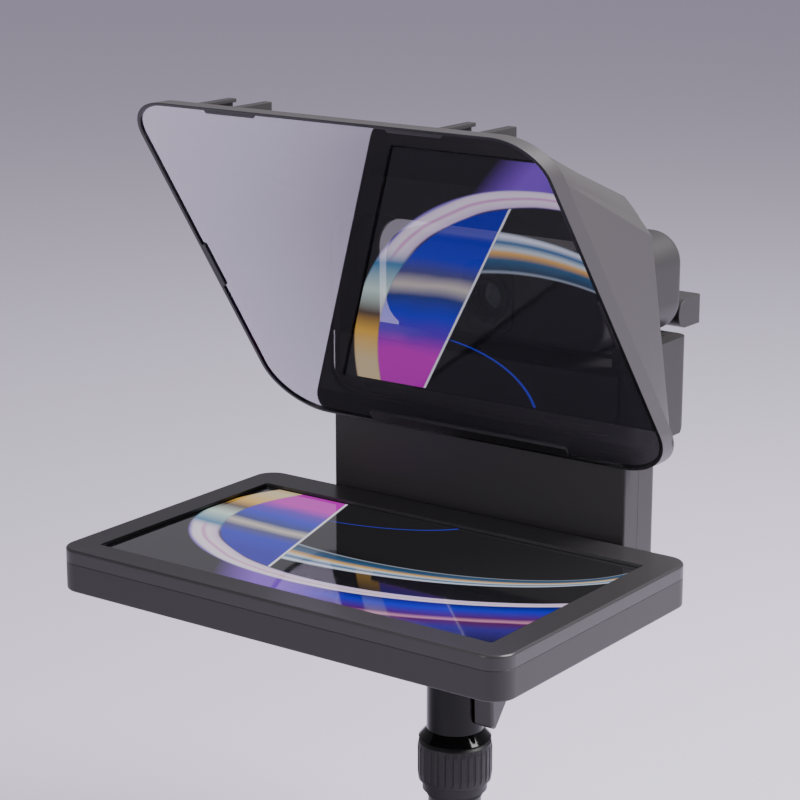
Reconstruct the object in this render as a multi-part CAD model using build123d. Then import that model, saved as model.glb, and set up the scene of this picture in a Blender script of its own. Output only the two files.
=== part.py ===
"""Desk teleprompter: display tray, half-mirror hood, webcam on a platform, and a mast with a ball head.

Millimetres. +Z is up, +X is the reader's right and +Y points away from the reader.
The origin is on the mast's axis, at the mast's lower end.
"""
from build123d import *
import math
import os

os.makedirs("parts", exist_ok=True)

# ---------------------------------------------------------------- clearances
RUN_GAP = 0.05          # radial gap of a turning or sliding shaft
SLIDE_GAP = 0.3         # gap between flat faces that pass each other
SCREW_GAP = 0.05        # radial gap of a screw in its hole

# ---------------------------------------------------------------- display tray
TRAY_WIDTH = 222.0
TRAY_DEPTH = 140.0
TRAY_TOP_Z = 225.0
TRAY_BACK_Y = 8.7
TRAY_THICKNESS = 18.3
TRAY_CORNER_R = 9.5
TRAY_WALL = 2.2
TRAY_FLOOR = 2.0
TRAY_EDGE_R = 1.0
BEZEL_DEPTH = 6.0
BEZEL_TOP_SKIN = 1.5
SCREEN_WIDTH = 196.6    # visible picture of a nine-inch panel
SCREEN_DEPTH = 110.0
SCREEN_BACK_MARGIN = 17.4
GLASS_OVERLAP = 2.5
GLASS_THICKNESS = 1.1
PANEL_THICKNESS = 4.2
BOARD_THICKNESS = 1.6

TRAY_FRONT_Y = TRAY_BACK_Y - TRAY_DEPTH
TRAY_BOTTOM_Z = TRAY_TOP_Z - TRAY_THICKNESS
TRAY_SPLIT_Z = TRAY_TOP_Z - BEZEL_DEPTH
TRAY_FLOOR_Z = TRAY_BOTTOM_Z + TRAY_FLOOR
SCREEN_MID_Y = TRAY_BACK_Y - SCREEN_BACK_MARGIN - SCREEN_DEPTH / 2
GLASS_TOP_Z = TRAY_TOP_Z - BEZEL_TOP_SKIN
PANEL_TOP_Z = GLASS_TOP_Z - GLASS_THICKNESS
PANEL_BOTTOM_Z = PANEL_TOP_Z - PANEL_THICKNESS

# ---------------------------------------------------------------- column behind the tray
COLUMN_WIDTH = 152.0
COLUMN_FRONT_Y = 12.7
COLUMN_DEPTH = 27.0
COLUMN_SPLIT = 11.0      # depth of the front half
COLUMN_TOP_Z = 295.0
COLUMN_WALL = 2.5
COLUMN_EDGE_R = 5.0
COLUMN_FRONT_EDGE_R = 1.2

COLUMN_BACK_Y = COLUMN_FRONT_Y + COLUMN_DEPTH
COLUMN_SPLIT_Y = COLUMN_FRONT_Y + COLUMN_SPLIT
COLUMN_BOTTOM_Z = TRAY_BOTTOM_Z

# ---------------------------------------------------------------- steel bracket in tray and column
BRACKET_WIDTH = 80.0
BRACKET_THICKNESS = 3.0
BRACKET_REACH = 70.0    # how far it runs forward of the mast
BRACKET_BEND_R = 3.0
BRACKET_RISE = 76.0

# ---------------------------------------------------------------- hood and mirror
HOOD_TILT = 55.13       # mirror plane from the horizontal, degrees
HOOD_LOW_Y = 9.3
HOOD_LOW_Z = 257.5
HOOD_SLANT = 183.4
HOOD_LOW_WIDTH = 206.5
HOOD_HIGH_WIDTH = 198.3
HOOD_LOW_CORNER_R = 26.0
HOOD_HIGH_CORNER_R = 20.0
FLANGE_RUN = 9.0        # the flange's depth, straight back along +Y
BODY_LOW_INSET = 12.0   # where the hood's body leaves the flange, up from its low edge
BODY_LOW_CORNER_R = 10.0
BODY_STEP = 0.3         # the body stands in this far from the flange's edge
BODY_LAP = 1.0          # the body starts this deep inside the flange
HOOD_WALL = 2.2
HOOD_RIM = 1.6
HOOD_FRAME_THICKNESS = 2.8
BACK_LOW_HALF = 98.5    # back outline of the hood, half widths and heights
BACK_HIGH_HALF = 72.4
BACK_SIDE_HALF = 85.8
BACK_LOW_Z = 262.0
BACK_HIGH_Z = 370.6
BACK_SIDE_Z = 355.8
BACK_LOW_CORNER = 12.0
CHAMFER_SHARE = 0.62    # where the shoulder facet's lower edge meets the back chamfer
MIRROR_SETBACK = 0.8
MIRROR_THICKNESS = 1.6
GASKET_THICKNESS = 0.6
MIRROR_SEAT = 2.4
MIRROR_LOW_SEAT = 8.0
LINING_THICKNESS = 0.8
WINDOW_HALF = 76.0      # opening in the hood's back frame
WINDOW_LOW_Z = 268.5
WINDOW_HIGH_Z = 350.0
WINDOW_CORNER_R = 12.0
CAVITY_BELOW_WINDOW = 1.5
HOOD_SCREW_BITE = 2.2
CLIP_LENGTH = 25.0
CLIP_ROOT = 1.0         # extra length that the pocket's wall trims off
CLIP_TIP_R = 0.8
CLIP_REACH = 1.6
CLIP_TOP_X = 44.5
LOW_BAR_REACH = 4.5
CLIP_SIDE_SLANT = 89.0
LOW_BAR_LENGTH = 102.0

HOOD_BACK_Y = COLUMN_FRONT_Y
HOOD_FRAME_Y = HOOD_BACK_Y - HOOD_FRAME_THICKNESS
MIRROR_REAR = MIRROR_SETBACK + MIRROR_THICKNESS
POCKET_DEPTH = MIRROR_REAR + GASKET_THICKNESS
TILT_SIN = math.sin(math.radians(HOOD_TILT))
TILT_COS = math.cos(math.radians(HOOD_TILT))
EIGHTH_TAN = math.tan(math.radians(22.5))
FLANGE_DEPTH = FLANGE_RUN * TILT_SIN
HOOD_TOP_Y = HOOD_LOW_Y - HOOD_SLANT * TILT_COS
HOOD_TOP_Z = HOOD_LOW_Z + HOOD_SLANT * TILT_SIN
EDGE_TAPER = (HOOD_LOW_WIDTH - HOOD_HIGH_WIDTH) / 2 / HOOD_SLANT

# ---------------------------------------------------------------- accessory shoes on the hood
SHOE_CENTRE_X = 59.0
SHOE_SLOT = 18.6
SHOE_RAIL = 1.8
SHOE_LIP = 1.9
SHOE_LIP_THICKNESS = 1.5
SHOE_ROOT = 15.0        # rail height before the roof trims it
SHOE_TOP_Z = HOOD_TOP_Z - 0.6
SHOE_FRONT_Y = HOOD_TOP_Y + 9.0
SHOE_LENGTH = 23.2

# ---------------------------------------------------------------- shroud round the camera
SHROUD_HALF = 74.5
SHROUD_DEPTH = 14.3
SHROUD_TOP_Z = 354.0
SHROUD_WALL = 1.8
SHROUD_TOP_WALL = 3.8
SHROUD_CORNER_R = 14.0
SHROUD_FLANGE = 3.0     # the lip that covers the opening in the hood
SHROUD_FLANGE_THICKNESS = 1.5

# ---------------------------------------------------------------- webcam
CAM_HALF = 57.0
CAM_LOW_Z = 298.0
CAM_HEIGHT = 44.5
CAM_FRONT_Y = 23.0
CAM_DEPTH = 70.0
CAM_SPLIT = 14.0        # depth of the front shell
CAM_CORNER_R = 14.0
CAM_EDGE_R = 5.0
CAM_REAR_EDGE_R = 7.0
CAM_WALL = 2.0
CAM_WINDOW_GAP = 4.0
LENS_BELOW_MIDDLE = 2.15
LENS_PANEL_HALF = 13.0
LENS_PANEL_HALF_HEIGHT = 15.5
LENS_PANEL_R = 7.0
LENS_PANEL_THICKNESS = 1.8
LENS_PANEL_PROUD = 0.8
LENS_RING_R = 11.0
LENS_BARREL_R = 8.5
LENS_BARREL_LENGTH = 17.0
LENS_GLASS_R = 6.2
LENS_RING_HEIGHT = 1.0
LENS_RING_EDGE_R = 0.4
LENS_LIP = 0.6
LENS_MOUTH = 2.0        # depth of the barrel's flared mouth
SENSOR_HALF = 7.0
SENSOR_HALF_HEIGHT = 5.5
SENSOR_THICKNESS = 1.2
SENSOR_CORNER_R = 0.5
MAIN_BOARD_SETBACK = 14.0
HEAT_SINK_HALF = 26.0
HEAT_SINK_BASE = 3.0
FIN_HEIGHT = 9.0
FIN_HALF_THICKNESS = 0.8
FIN_PITCH = 6.0
FINS_EACH_SIDE = 4

CAM_BACK_Y = CAM_FRONT_Y + CAM_DEPTH
CAM_SPLIT_Y = CAM_FRONT_Y + CAM_SPLIT
CAM_HIGH_Z = CAM_LOW_Z + CAM_HEIGHT
LENS_FRONT_Y = CAM_FRONT_Y - LENS_PANEL_PROUD - LENS_RING_HEIGHT
SENSOR_Y = LENS_FRONT_Y + LENS_BARREL_LENGTH
SENSOR_BOARD_Y = SENSOR_Y + SENSOR_THICKNESS
MAIN_BOARD_Y = CAM_SPLIT_Y + MAIN_BOARD_SETBACK
HEAT_SINK_Y = MAIN_BOARD_Y + BOARD_THICKNESS
LENS_Z = (CAM_LOW_Z + CAM_HIGH_Z) / 2 - LENS_BELOW_MIDDLE

# ---------------------------------------------------------------- webcam's folding clip
ARM_HALF = 54.0
ARM_THICKNESS = 12.7
ARM_AXIS_Z = 304.0
ARM_TAIL = 14.6
ARM_EDGE_R = 3.0
EAR_X = 25.0
EAR_WIDTH = 8.0
EAR_R = 5.0
EAR_ROOT = 5.0          # how far the ears run into the webcam's rounded rear edge
ARM_PIN_R = 1.5
ARM_AXIS_Y = CAM_BACK_Y + SLIDE_GAP + ARM_THICKNESS / 2

# ---------------------------------------------------------------- camera platform
PLATFORM_HALF = 60.0
PLATFORM_DEPTH = 52.6
PLATFORM_LOW_Z = 253.0
PLATFORM_TOP_Z = 296.6
PLATFORM_WALL = 2.5
PLATFORM_TOP_WALL = 3.0
PLATFORM_EDGE_R = 6.0
PLATFORM_LOW_CHAMFER = 6.0
PAD_THICKNESS = 1.2
PLATFORM_UP = 3.0
PLATFORM_DOWN = 2.0
RAIL_X = 32.0
RAIL_WIDTH = 5.0
RAIL_PROUD = 2.0
RAIL_SUNK = 1.0
CLAMP_Z = 272.0
CLAMP_SHAFT_R = 2.5
CLAMP_KNOB_R = 11.0
CLAMP_KNOB_LENGTH = 9.0
CLAMP_NUT_THICKNESS = 4.0
CLAMP_NUT_WIDTH = 14.0
CLAMP_NECK_HALF = 4.7   # square neck that keeps the nut from turning in its slot
CAM_TRAVEL = 8.0
CAM_SCREW_Y = 60.0
CAM_SCREW_R = 3.175     # quarter-inch camera thread
CAM_KNOB_R = 9.0
CAM_KNOB_LENGTH = 8.0
CAM_KNOB_FLUTES = 14
CAM_KNOB_FLUTE_R = 1.1
CLAMP_KNOB_FLUTES = 12
CLAMP_KNOB_FLUTE_R = 1.8
KNOB_FLUTE_OUT = 0.4    # how far outside the rim a flute's centre lies, in flute radii
PAD_SIDE_GAP = 8.0
PAD_END_GAP = 5.0
PAD_CORNER_R = 4.0
INSERT_R = 5.5
INSERT_LENGTH = 7.0

PLATFORM_FRONT_Y = COLUMN_BACK_Y + SLIDE_GAP
PLATFORM_BACK_Y = PLATFORM_FRONT_Y + PLATFORM_DEPTH

# ---------------------------------------------------------------- ball head
BALL_Z = 178.0
BALL_R = 9.0
BALL_CUP_WALL = 1.2
BALL_CUP_RIM = 36.0     # degrees below the ball's equator
SOCKET_LIP = 4.0        # lip height above the ball's centre
STEM_R = 3.0
DISC_R = 19.0
DISC_THICKNESS = 6.0
STUD_R = CAM_SCREW_R
STUD_LENGTH = 8.0
NUT_R = 7.0
HOUSING_R = 12.7
SPINDLE_R = 6.0
SPINDLE_LENGTH = 14.0
LEVER_AXIS_Z = 158.0
LEVER_SCREW_R = 3.0
LEVER_SCREW_LENGTH = 9.0
LEVER_GAP = 0.5
LEVER_WIDTH = 9.3
LEVER_PROFILE = (       # the paddle's side outline, Y and height about its screw
    (-1.0, -26.0), (-4.0, -24.0), (-5.0, 1.0), (-3.0, 6.0), (4.0, 6.5), (9.0, 2.0), (10.5, -12.0),
)
LEVER_PROFILE_R = 1.2
LEVER_EDGE_R = 1.5

# ---------------------------------------------------------------- mast
TUBE_R = 11.8
TUBE_WALL = 1.5
TUBE_TOP_Z = 112.0
INNER_TUBE_R = 8.0
INNER_TUBE_WALL = 1.2
INNER_TUBE_LOW_Z = 24.0
BUSH_FLOOR = 3.0
BUSH_GRIP = 9.0          # how far the guide bush grips up the inner tube
COLLET_LENGTH = 16.0
COLLET_FLANGE = 2.0
COLLET_SLOTS = 4
COLLET_SLOT_WIDTH = 1.2
COLLAR_R = TUBE_R + 4.8
COLLAR_WAIST_R = TUBE_R + 2.6
COLLAR_LOW_Z = 99.5
COLLAR_HIGH_Z = 123.7
COLLAR_FLUTES = 30
COLLAR_FLUTE_R = 0.9
COLLAR_STEP = 3.9       # plain band below the grip
COLLAR_BULGE = 0.45
COLLAR_CHAMFER = 0.9
COLLAR_RUN = 4.5        # height over which the grip swells to its full radius
RING_HEIGHT = 2.2
RING_R = TUBE_R + 0.8
SKIRT_HEIGHT = 4.0
SPIGOT_LENGTH = 14.0    # how deep the skirt's spigot goes into the inner tube
SKIRT_R = COLLAR_R - 0.5
BASE_PLUG_LENGTH = 18.0
BASE_LIP = 3.0
BASE_THREAD_R = 3.97    # tapping size of a 3/8 inch stand thread
BASE_THREAD_DEPTH = 12.0

SKIRT_LOW_Z = COLLAR_HIGH_Z + SLIDE_GAP
SKIRT_HIGH_Z = SKIRT_LOW_Z + SKIRT_HEIGHT
HOUSING_LOW_Z = SKIRT_HIGH_Z + SLIDE_GAP

# ---------------------------------------------------------------- screws
SCREW_R = 1.5
SCREW_HEAD_R = 2.8
SCREW_HEAD = 1.8
SOCKET_WIDTH_SHARE = 0.4
SOCKET_DEPTH_SHARE = 0.6
FINE_SCREW_R = 1.0
FINE_HEAD_R = 1.8
FINE_HEAD = 1.4
BOSS_R = 3.6
TRAY_SCREW_X = TRAY_WIDTH / 2 - 6.0
TRAY_SCREW_YS = (-122.0, -60.0, -2.0)
COLUMN_SCREW_X = 66.0
COLUMN_SCREW_ZS = (218.0, 284.0)
HOOD_SCREW_XS = (-60.0, -46.0, 46.0, 60.0)
HOOD_SCREW_Z = 264.3
SHROUD_SCREW_X = 50.0
CAM_SCREW_XS = (-43.0, 43.0)


# ================================================================ helpers
def block(x0, x1, y0, y1, z0, z1):
    """A box given by its two corners."""
    size = (x1 - x0, y1 - y0, z1 - z0)
    return Pos((x0 + x1) / 2, (y0 + y1) / 2, (z0 + z1) / 2) * Box(*size)


def rod_z(radius, z0, z1, x=0.0, y=0.0):
    return Pos(x, y, (z0 + z1) / 2) * Cylinder(radius, z1 - z0)


def rod_y(radius, y0, y1, x=0.0, z=0.0):
    return Pos(x, (y0 + y1) / 2, z) * Rot(90, 0, 0) * Cylinder(radius, y1 - y0)


def rod_x(radius, x0, x1, y=0.0, z=0.0):
    return Pos((x0 + x1) / 2, y, z) * Rot(0, 90, 0) * Cylinder(radius, x1 - x0)


def slab_z(half_x, y0, y1, z0, z1, corner):
    """A plate lying flat, with rounded upright edges."""
    outline = Plane.XY.offset(z0) * Pos(0, (y0 + y1) / 2) * RectangleRounded(2 * half_x, y1 - y0, corner)
    return extrude(outline, amount=z1 - z0)


def slab_y(half_x, z0, z1, y0, y1, corner):
    """A plate standing up and facing the reader, with rounded edges."""
    face = Plane(origin=(0, y0, 0), x_dir=(1, 0, 0), z_dir=(0, 1, 0))
    outline = face * Pos(0, -(z0 + z1) / 2) * RectangleRounded(2 * half_x, z1 - z0, corner)
    return extrude(outline, amount=y1 - y0)


def turned(points):
    """A body turned about the mast's axis from (radius, height) points."""
    outline = Plane.XZ * make_face(Polyline(*points, close=True))
    return revolve(outline, Axis.Z, 360)


def save(name, *solids):
    """Write one node; like pieces share it as separate solids."""
    shape = solids[0] if len(solids) == 1 else Compound(children=list(solids))
    export_step(shape, "parts/" + name + ".step")


def both_sides(values):
    """Each value with its mirror image about X = 0."""
    return [side * value for value in values for side in (-1, 1)]


# ================================================================ display tray
def tray_lower_shell():
    shell = slab_z(TRAY_WIDTH / 2, TRAY_FRONT_Y, TRAY_BACK_Y, TRAY_BOTTOM_Z, TRAY_SPLIT_Z, TRAY_CORNER_R)
    shell = fillet(shell.faces().sort_by(Axis.Z)[0].edges(), TRAY_EDGE_R)
    shell -= slab_z(TRAY_WIDTH / 2 - TRAY_WALL, TRAY_FRONT_Y + TRAY_WALL, TRAY_BACK_Y - TRAY_WALL,
                    TRAY_FLOOR_Z, TRAY_SPLIT_Z, TRAY_CORNER_R - TRAY_WALL)
    for x in both_sides([TRAY_SCREW_X]):
        for y in TRAY_SCREW_YS:
            shell += rod_z(BOSS_R, TRAY_FLOOR_Z, TRAY_SPLIT_Z, x, y) & tray_envelope()
            shell -= rod_z(SCREW_R + SCREW_GAP, TRAY_BOTTOM_Z, TRAY_SPLIT_Z, x, y)
            shell -= rod_z(SCREW_HEAD_R + SCREW_GAP, TRAY_BOTTOM_Z, TRAY_BOTTOM_Z + SCREW_HEAD, x, y)
    shell -= rod_z(STUD_R + SCREW_GAP, TRAY_BOTTOM_Z, TRAY_FLOOR_Z)
    half = BRACKET_WIDTH / 2 + SLIDE_GAP
    shell -= block(-half, half, TRAY_BACK_Y - TRAY_WALL, TRAY_BACK_Y,
                   TRAY_FLOOR_Z, TRAY_FLOOR_Z + BRACKET_THICKNESS + SLIDE_GAP)
    return shell - usb_hole()


def tray_envelope():
    """The tray's outside, to trim what is added near its walls."""
    inset = TRAY_EDGE_R
    return slab_z(TRAY_WIDTH / 2 - inset, TRAY_FRONT_Y + inset, TRAY_BACK_Y - inset,
                  TRAY_BOTTOM_Z, TRAY_TOP_Z, TRAY_CORNER_R - inset)


def tray_upper_bezel():
    bezel = slab_z(TRAY_WIDTH / 2, TRAY_FRONT_Y, TRAY_BACK_Y, TRAY_SPLIT_Z, TRAY_TOP_Z, TRAY_CORNER_R)
    bezel = fillet(bezel.faces().sort_by(Axis.Z)[-1].edges(), TRAY_EDGE_R)
    bezel -= slab_z(TRAY_WIDTH / 2 - TRAY_WALL, TRAY_FRONT_Y + TRAY_WALL, TRAY_BACK_Y - TRAY_WALL,
                    TRAY_SPLIT_Z, GLASS_TOP_Z, TRAY_CORNER_R - TRAY_WALL)
    for x in both_sides([TRAY_SCREW_X]):
        for y in TRAY_SCREW_YS:
            bezel += rod_z(BOSS_R - 0.5, TRAY_SPLIT_Z, GLASS_TOP_Z, x, y) & tray_envelope()
            bezel -= rod_z(SCREW_R + SCREW_GAP, TRAY_SPLIT_Z, GLASS_TOP_Z - 0.5, x, y)
    window = slab_z(SCREEN_WIDTH / 2, SCREEN_MID_Y - SCREEN_DEPTH / 2, SCREEN_MID_Y + SCREEN_DEPTH / 2,
                    GLASS_TOP_Z, TRAY_TOP_Z, 1.0)
    bezel -= window
    return bezel


def display_plate(margin, z0, z1, corner):
    return slab_z(SCREEN_WIDTH / 2 + margin, SCREEN_MID_Y - SCREEN_DEPTH / 2 - margin,
                  SCREEN_MID_Y + SCREEN_DEPTH / 2 + margin, z0, z1, corner)


USB_X = 21.0 - TRAY_WIDTH / 2
USB_WIDTH = 9.0
USB_HEIGHT = 3.3
USB_LENGTH = 7.3
USB_SETBACK = 0.5       # from the tray's back face
USB_WALL = 0.35
USB_TONGUE_HALF = 3.2
USB_TONGUE_SETBACK = 1.3
BOARD_Z = TRAY_FLOOR_Z + 3.0


def usb_outline(width, height, y0, y1):
    z = BOARD_Z + BOARD_THICKNESS + USB_HEIGHT / 2
    return Pos(USB_X, 0, 0) * slab_y(width / 2, z - height / 2, z + height / 2, y0, y1, height / 2 - 0.01)


def usb_hole():
    gap = 2 * SLIDE_GAP
    return usb_outline(USB_WIDTH + gap, USB_HEIGHT + gap, TRAY_BACK_Y - TRAY_WALL - 1, TRAY_BACK_Y + 1)


def usb_port():
    """Steel shell of the inlet with its contact tongue."""
    y1 = TRAY_BACK_Y - USB_SETBACK
    y0 = y1 - USB_LENGTH
    shell = usb_outline(USB_WIDTH, USB_HEIGHT, y0, y1)
    mouth = usb_outline(USB_WIDTH - 2 * USB_WALL, USB_HEIGHT - 2 * USB_WALL, y0 + 1, y1)
    z = BOARD_Z + BOARD_THICKNESS + USB_HEIGHT / 2
    tongue = block(USB_X - USB_TONGUE_HALF, USB_X + USB_TONGUE_HALF, y0, y1 - USB_TONGUE_SETBACK,
                   z - USB_WALL, z + USB_WALL)
    return shell - mouth + tongue


BOARD_X = (10.0 - TRAY_WIDTH / 2, 63.0 - TRAY_WIDTH / 2)
BOARD_Y = (-48.0, 5.0)
BOARD_CHIPS = (         # place on the board, length, width and height
    (14.0, 14.0, 12.0, 12.0, 1.2), (34.0, 12.0, 7.0, 10.0, 0.9), (29.0, 31.0, 20.0, 4.0, 1.5),
)
BOARD_POST_R = 3.0
BOARD_POST_INSET = 5.0


def display_board():
    """Driver board on four posts, with its chips and the screen's ribbon socket."""
    x0, x1 = BOARD_X
    y0, y1 = BOARD_Y
    top = BOARD_Z + BOARD_THICKNESS
    board = block(x0, x1, y0, y1, BOARD_Z, top)
    for x, y, length, width, height in BOARD_CHIPS:
        board += block(x0 + x, x0 + x + length, y0 + y, y0 + y + width, top, top + height)
    return board


def board_posts():
    posts = []
    for x in (BOARD_X[0] + BOARD_POST_INSET, BOARD_X[1] - BOARD_POST_INSET):
        for y in (BOARD_Y[0] + BOARD_POST_INSET, BOARD_Y[1] - BOARD_POST_INSET):
            posts.append(rod_z(BOARD_POST_R, TRAY_FLOOR_Z, BOARD_Z, x, y))
    return posts


# ================================================================ screws
def screw_z(x, y, head_z, tip_z):
    """A socket-head screw driven upwards; its head starts at head_z."""
    body = rod_z(SCREW_HEAD_R, head_z, head_z + SCREW_HEAD, x, y)
    body += rod_z(SCREW_R, head_z, tip_z, x, y)
    socket_z = head_z + SCREW_HEAD * SOCKET_DEPTH_SHARE
    return body - rod_z(SCREW_HEAD_R * SOCKET_WIDTH_SHARE, head_z, socket_z, x, y)


def screw_y(x, z, head_y, tip_y, head_r=SCREW_HEAD_R, head=SCREW_HEAD, shank_r=SCREW_R):
    """A screw driven forwards, towards -Y; its head's outer face is at head_y."""
    body = rod_y(head_r, head_y - head, head_y, x, z)
    body += rod_y(shank_r, tip_y, head_y, x, z)
    return body - rod_y(head_r * SOCKET_WIDTH_SHARE, head_y - head * SOCKET_DEPTH_SHARE, head_y, x, z)


# ================================================================ column
def column_front_shell():
    half = COLUMN_WIDTH / 2
    shell = block(-half, half, COLUMN_FRONT_Y, COLUMN_SPLIT_Y, COLUMN_BOTTOM_Z, COLUMN_TOP_Z)
    front_edges = shell.faces().sort_by(Axis.Y)[0].edges()
    shell = fillet(front_edges, COLUMN_FRONT_EDGE_R)
    inner = half - COLUMN_WALL
    shell -= block(-inner, inner, COLUMN_FRONT_Y + COLUMN_WALL, COLUMN_SPLIT_Y,
                   COLUMN_BOTTOM_Z + TRAY_FLOOR, COLUMN_TOP_Z - COLUMN_WALL)
    slot = BRACKET_WIDTH / 2 + SLIDE_GAP
    shell -= block(-slot, slot, COLUMN_FRONT_Y, COLUMN_FRONT_Y + COLUMN_WALL,
                   TRAY_FLOOR_Z, TRAY_FLOOR_Z + BRACKET_THICKNESS + SLIDE_GAP)
    for x in both_sides([COLUMN_SCREW_X]):
        for z in COLUMN_SCREW_ZS:
            shell += rod_y(BOSS_R, COLUMN_FRONT_Y + COLUMN_WALL, COLUMN_SPLIT_Y, x, z)
            shell -= rod_y(SCREW_R + SCREW_GAP, COLUMN_FRONT_Y + COLUMN_WALL, COLUMN_SPLIT_Y, x, z)
    for x in HOOD_SCREW_XS:
        shell -= rod_y(SCREW_R + SCREW_GAP, COLUMN_FRONT_Y, COLUMN_FRONT_Y + COLUMN_WALL, x, HOOD_SCREW_Z)
    return shell - column_front_slots() - column_groove()


FRONT_SLOT_X = (36.4, 58.6)
FRONT_SLOT_Z = 273.0
FRONT_SLOT_HEIGHT = 1.4
FRONT_SLOT_DEPTH = 0.8
GROOVE_HALF = 74.5
GROOVE_LOW_Z = 269.0
GROOVE_WIDTH = 3.0
GROOVE_DEPTH = 1.5
GROOVE_CORNER_R = 12.0


def column_groove():
    """U-shaped shadow groove that follows the hood's opening."""
    y0, y1 = COLUMN_FRONT_Y, COLUMN_FRONT_Y + GROOVE_DEPTH
    above = COLUMN_TOP_Z + GROOVE_CORNER_R
    inner_half = GROOVE_HALF - GROOVE_WIDTH
    outer = slab_y(GROOVE_HALF, GROOVE_LOW_Z, above, y0, y1, GROOVE_CORNER_R)
    inner_low_z = GROOVE_LOW_Z + GROOVE_WIDTH
    return outer - slab_y(inner_half, inner_low_z, above, y0, y1, GROOVE_CORNER_R - GROOVE_WIDTH)


def column_front_slots():
    """Two shallow index lines that show the hood's place on the column."""
    z0, z1 = FRONT_SLOT_Z - FRONT_SLOT_HEIGHT / 2, FRONT_SLOT_Z + FRONT_SLOT_HEIGHT / 2
    x0, x1 = FRONT_SLOT_X
    y0, y1 = COLUMN_FRONT_Y, COLUMN_FRONT_Y + FRONT_SLOT_DEPTH
    return block(x0, x1, y0, y1, z0, z1) + block(-x1, -x0, y0, y1, z0, z1)


def column_rear_cover():
    half = COLUMN_WIDTH / 2
    cover = block(-half, half, COLUMN_SPLIT_Y, COLUMN_BACK_Y, COLUMN_BOTTOM_Z, COLUMN_TOP_Z)
    cover = fillet(cover.faces().sort_by(Axis.Y)[-1].edges().filter_by(Axis.Z), COLUMN_EDGE_R)
    cover = fillet(cover.faces().sort_by(Axis.Y)[-1].edges().filter_by(Axis.X), COLUMN_FRONT_EDGE_R)
    inner = half - COLUMN_WALL
    hollow = slab_z(inner, COLUMN_SPLIT_Y - COLUMN_EDGE_R, COLUMN_BACK_Y - COLUMN_WALL,
                    COLUMN_BOTTOM_Z + TRAY_FLOOR, COLUMN_TOP_Z - COLUMN_WALL, COLUMN_EDGE_R - COLUMN_WALL)
    cover -= hollow & block(-half, half, COLUMN_SPLIT_Y, COLUMN_BACK_Y, COLUMN_BOTTOM_Z, COLUMN_TOP_Z)
    for x in both_sides([COLUMN_SCREW_X]):
        for z in COLUMN_SCREW_ZS:
            cover += rod_y(BOSS_R, COLUMN_SPLIT_Y, COLUMN_BACK_Y - COLUMN_WALL, x, z)
            cover -= rod_y(SCREW_R + SCREW_GAP, COLUMN_SPLIT_Y, COLUMN_BACK_Y, x, z)
            cover -= rod_y(SCREW_HEAD_R + SCREW_GAP, COLUMN_BACK_Y - SCREW_HEAD, COLUMN_BACK_Y, x, z)
    slot_half = CLAMP_NECK_HALF + SLIDE_GAP
    z0 = CLAMP_Z - PLATFORM_DOWN - slot_half
    z1 = CLAMP_Z + PLATFORM_UP + slot_half
    y0, y1 = COLUMN_BACK_Y - COLUMN_WALL, COLUMN_BACK_Y
    cover -= block(-slot_half, slot_half, y0, y1, z0, z1)
    for x in both_sides([RAIL_X]):
        cover -= rail(x, COLUMN_BACK_Y)
    return cover


def rail(x, y1):
    """One upright strip let into the column's back."""
    return block(x - RAIL_WIDTH / 2, x + RAIL_WIDTH / 2, COLUMN_BACK_Y - RAIL_SUNK, y1,
                 PLATFORM_LOW_Z - PLATFORM_DOWN, COLUMN_TOP_Z - COLUMN_WALL)


def platform_rails():
    return [rail(x, COLUMN_BACK_Y + RAIL_PROUD) for x in both_sides([RAIL_X])]


def support_bracket():
    """Bent steel strap: it lies on the tray's floor, passes into the column and stands up there."""
    half = BRACKET_WIDTH / 2
    z0, z1 = TRAY_FLOOR_Z, TRAY_FLOOR_Z + BRACKET_THICKNESS
    y1 = COLUMN_FRONT_Y + COLUMN_WALL + BRACKET_THICKNESS
    strap = block(-half, half, -BRACKET_REACH, y1, z0, z1)
    strap += block(-half, half, y1 - BRACKET_THICKNESS, y1, z0, z0 + BRACKET_RISE)
    bend = strap.edges().filter_by(Axis.X).filter_by_position(Axis.Y, y1 - 0.1, y1 + 0.1)
    strap = fillet(bend.sort_by(Axis.Z)[0], BRACKET_BEND_R)
    strap -= rod_z(STUD_R + SCREW_GAP, z0, z1)
    for x in both_sides([half / 2]):
        strap -= rod_z(NUT_R, z0, z1, x, -BRACKET_REACH / 2)
    return strap


def mount_nut():
    z0 = TRAY_FLOOR_Z + BRACKET_THICKNESS
    hexagon = Plane.XY.offset(z0) * RegularPolygon(NUT_R, 6)
    return extrude(hexagon, amount=3.5) - rod_z(STUD_R + SCREW_GAP, z0, z0 + 3.5)


# ================================================================ hood
def front_outline(inset, low_inset=None):
    """Corner points and radii of the tilted outline, on the mirror plane's own axes."""
    low = inset if low_inset is None else low_inset
    low_half = HOOD_LOW_WIDTH / 2 - inset - EDGE_TAPER * low
    high_half = HOOD_HIGH_WIDTH / 2 - inset + EDGE_TAPER * inset
    return low_half, high_half, low, HOOD_SLANT - inset


def mirror_plane(depth):
    """The hood's tilted front plane, moved straight back until it lies a depth behind itself."""
    origin = (0, HOOD_LOW_Y + depth / TILT_SIN, HOOD_LOW_Z)
    return Plane(origin=origin, x_dir=(1, 0, 0), z_dir=(0, -TILT_SIN, -TILT_COS))


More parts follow.
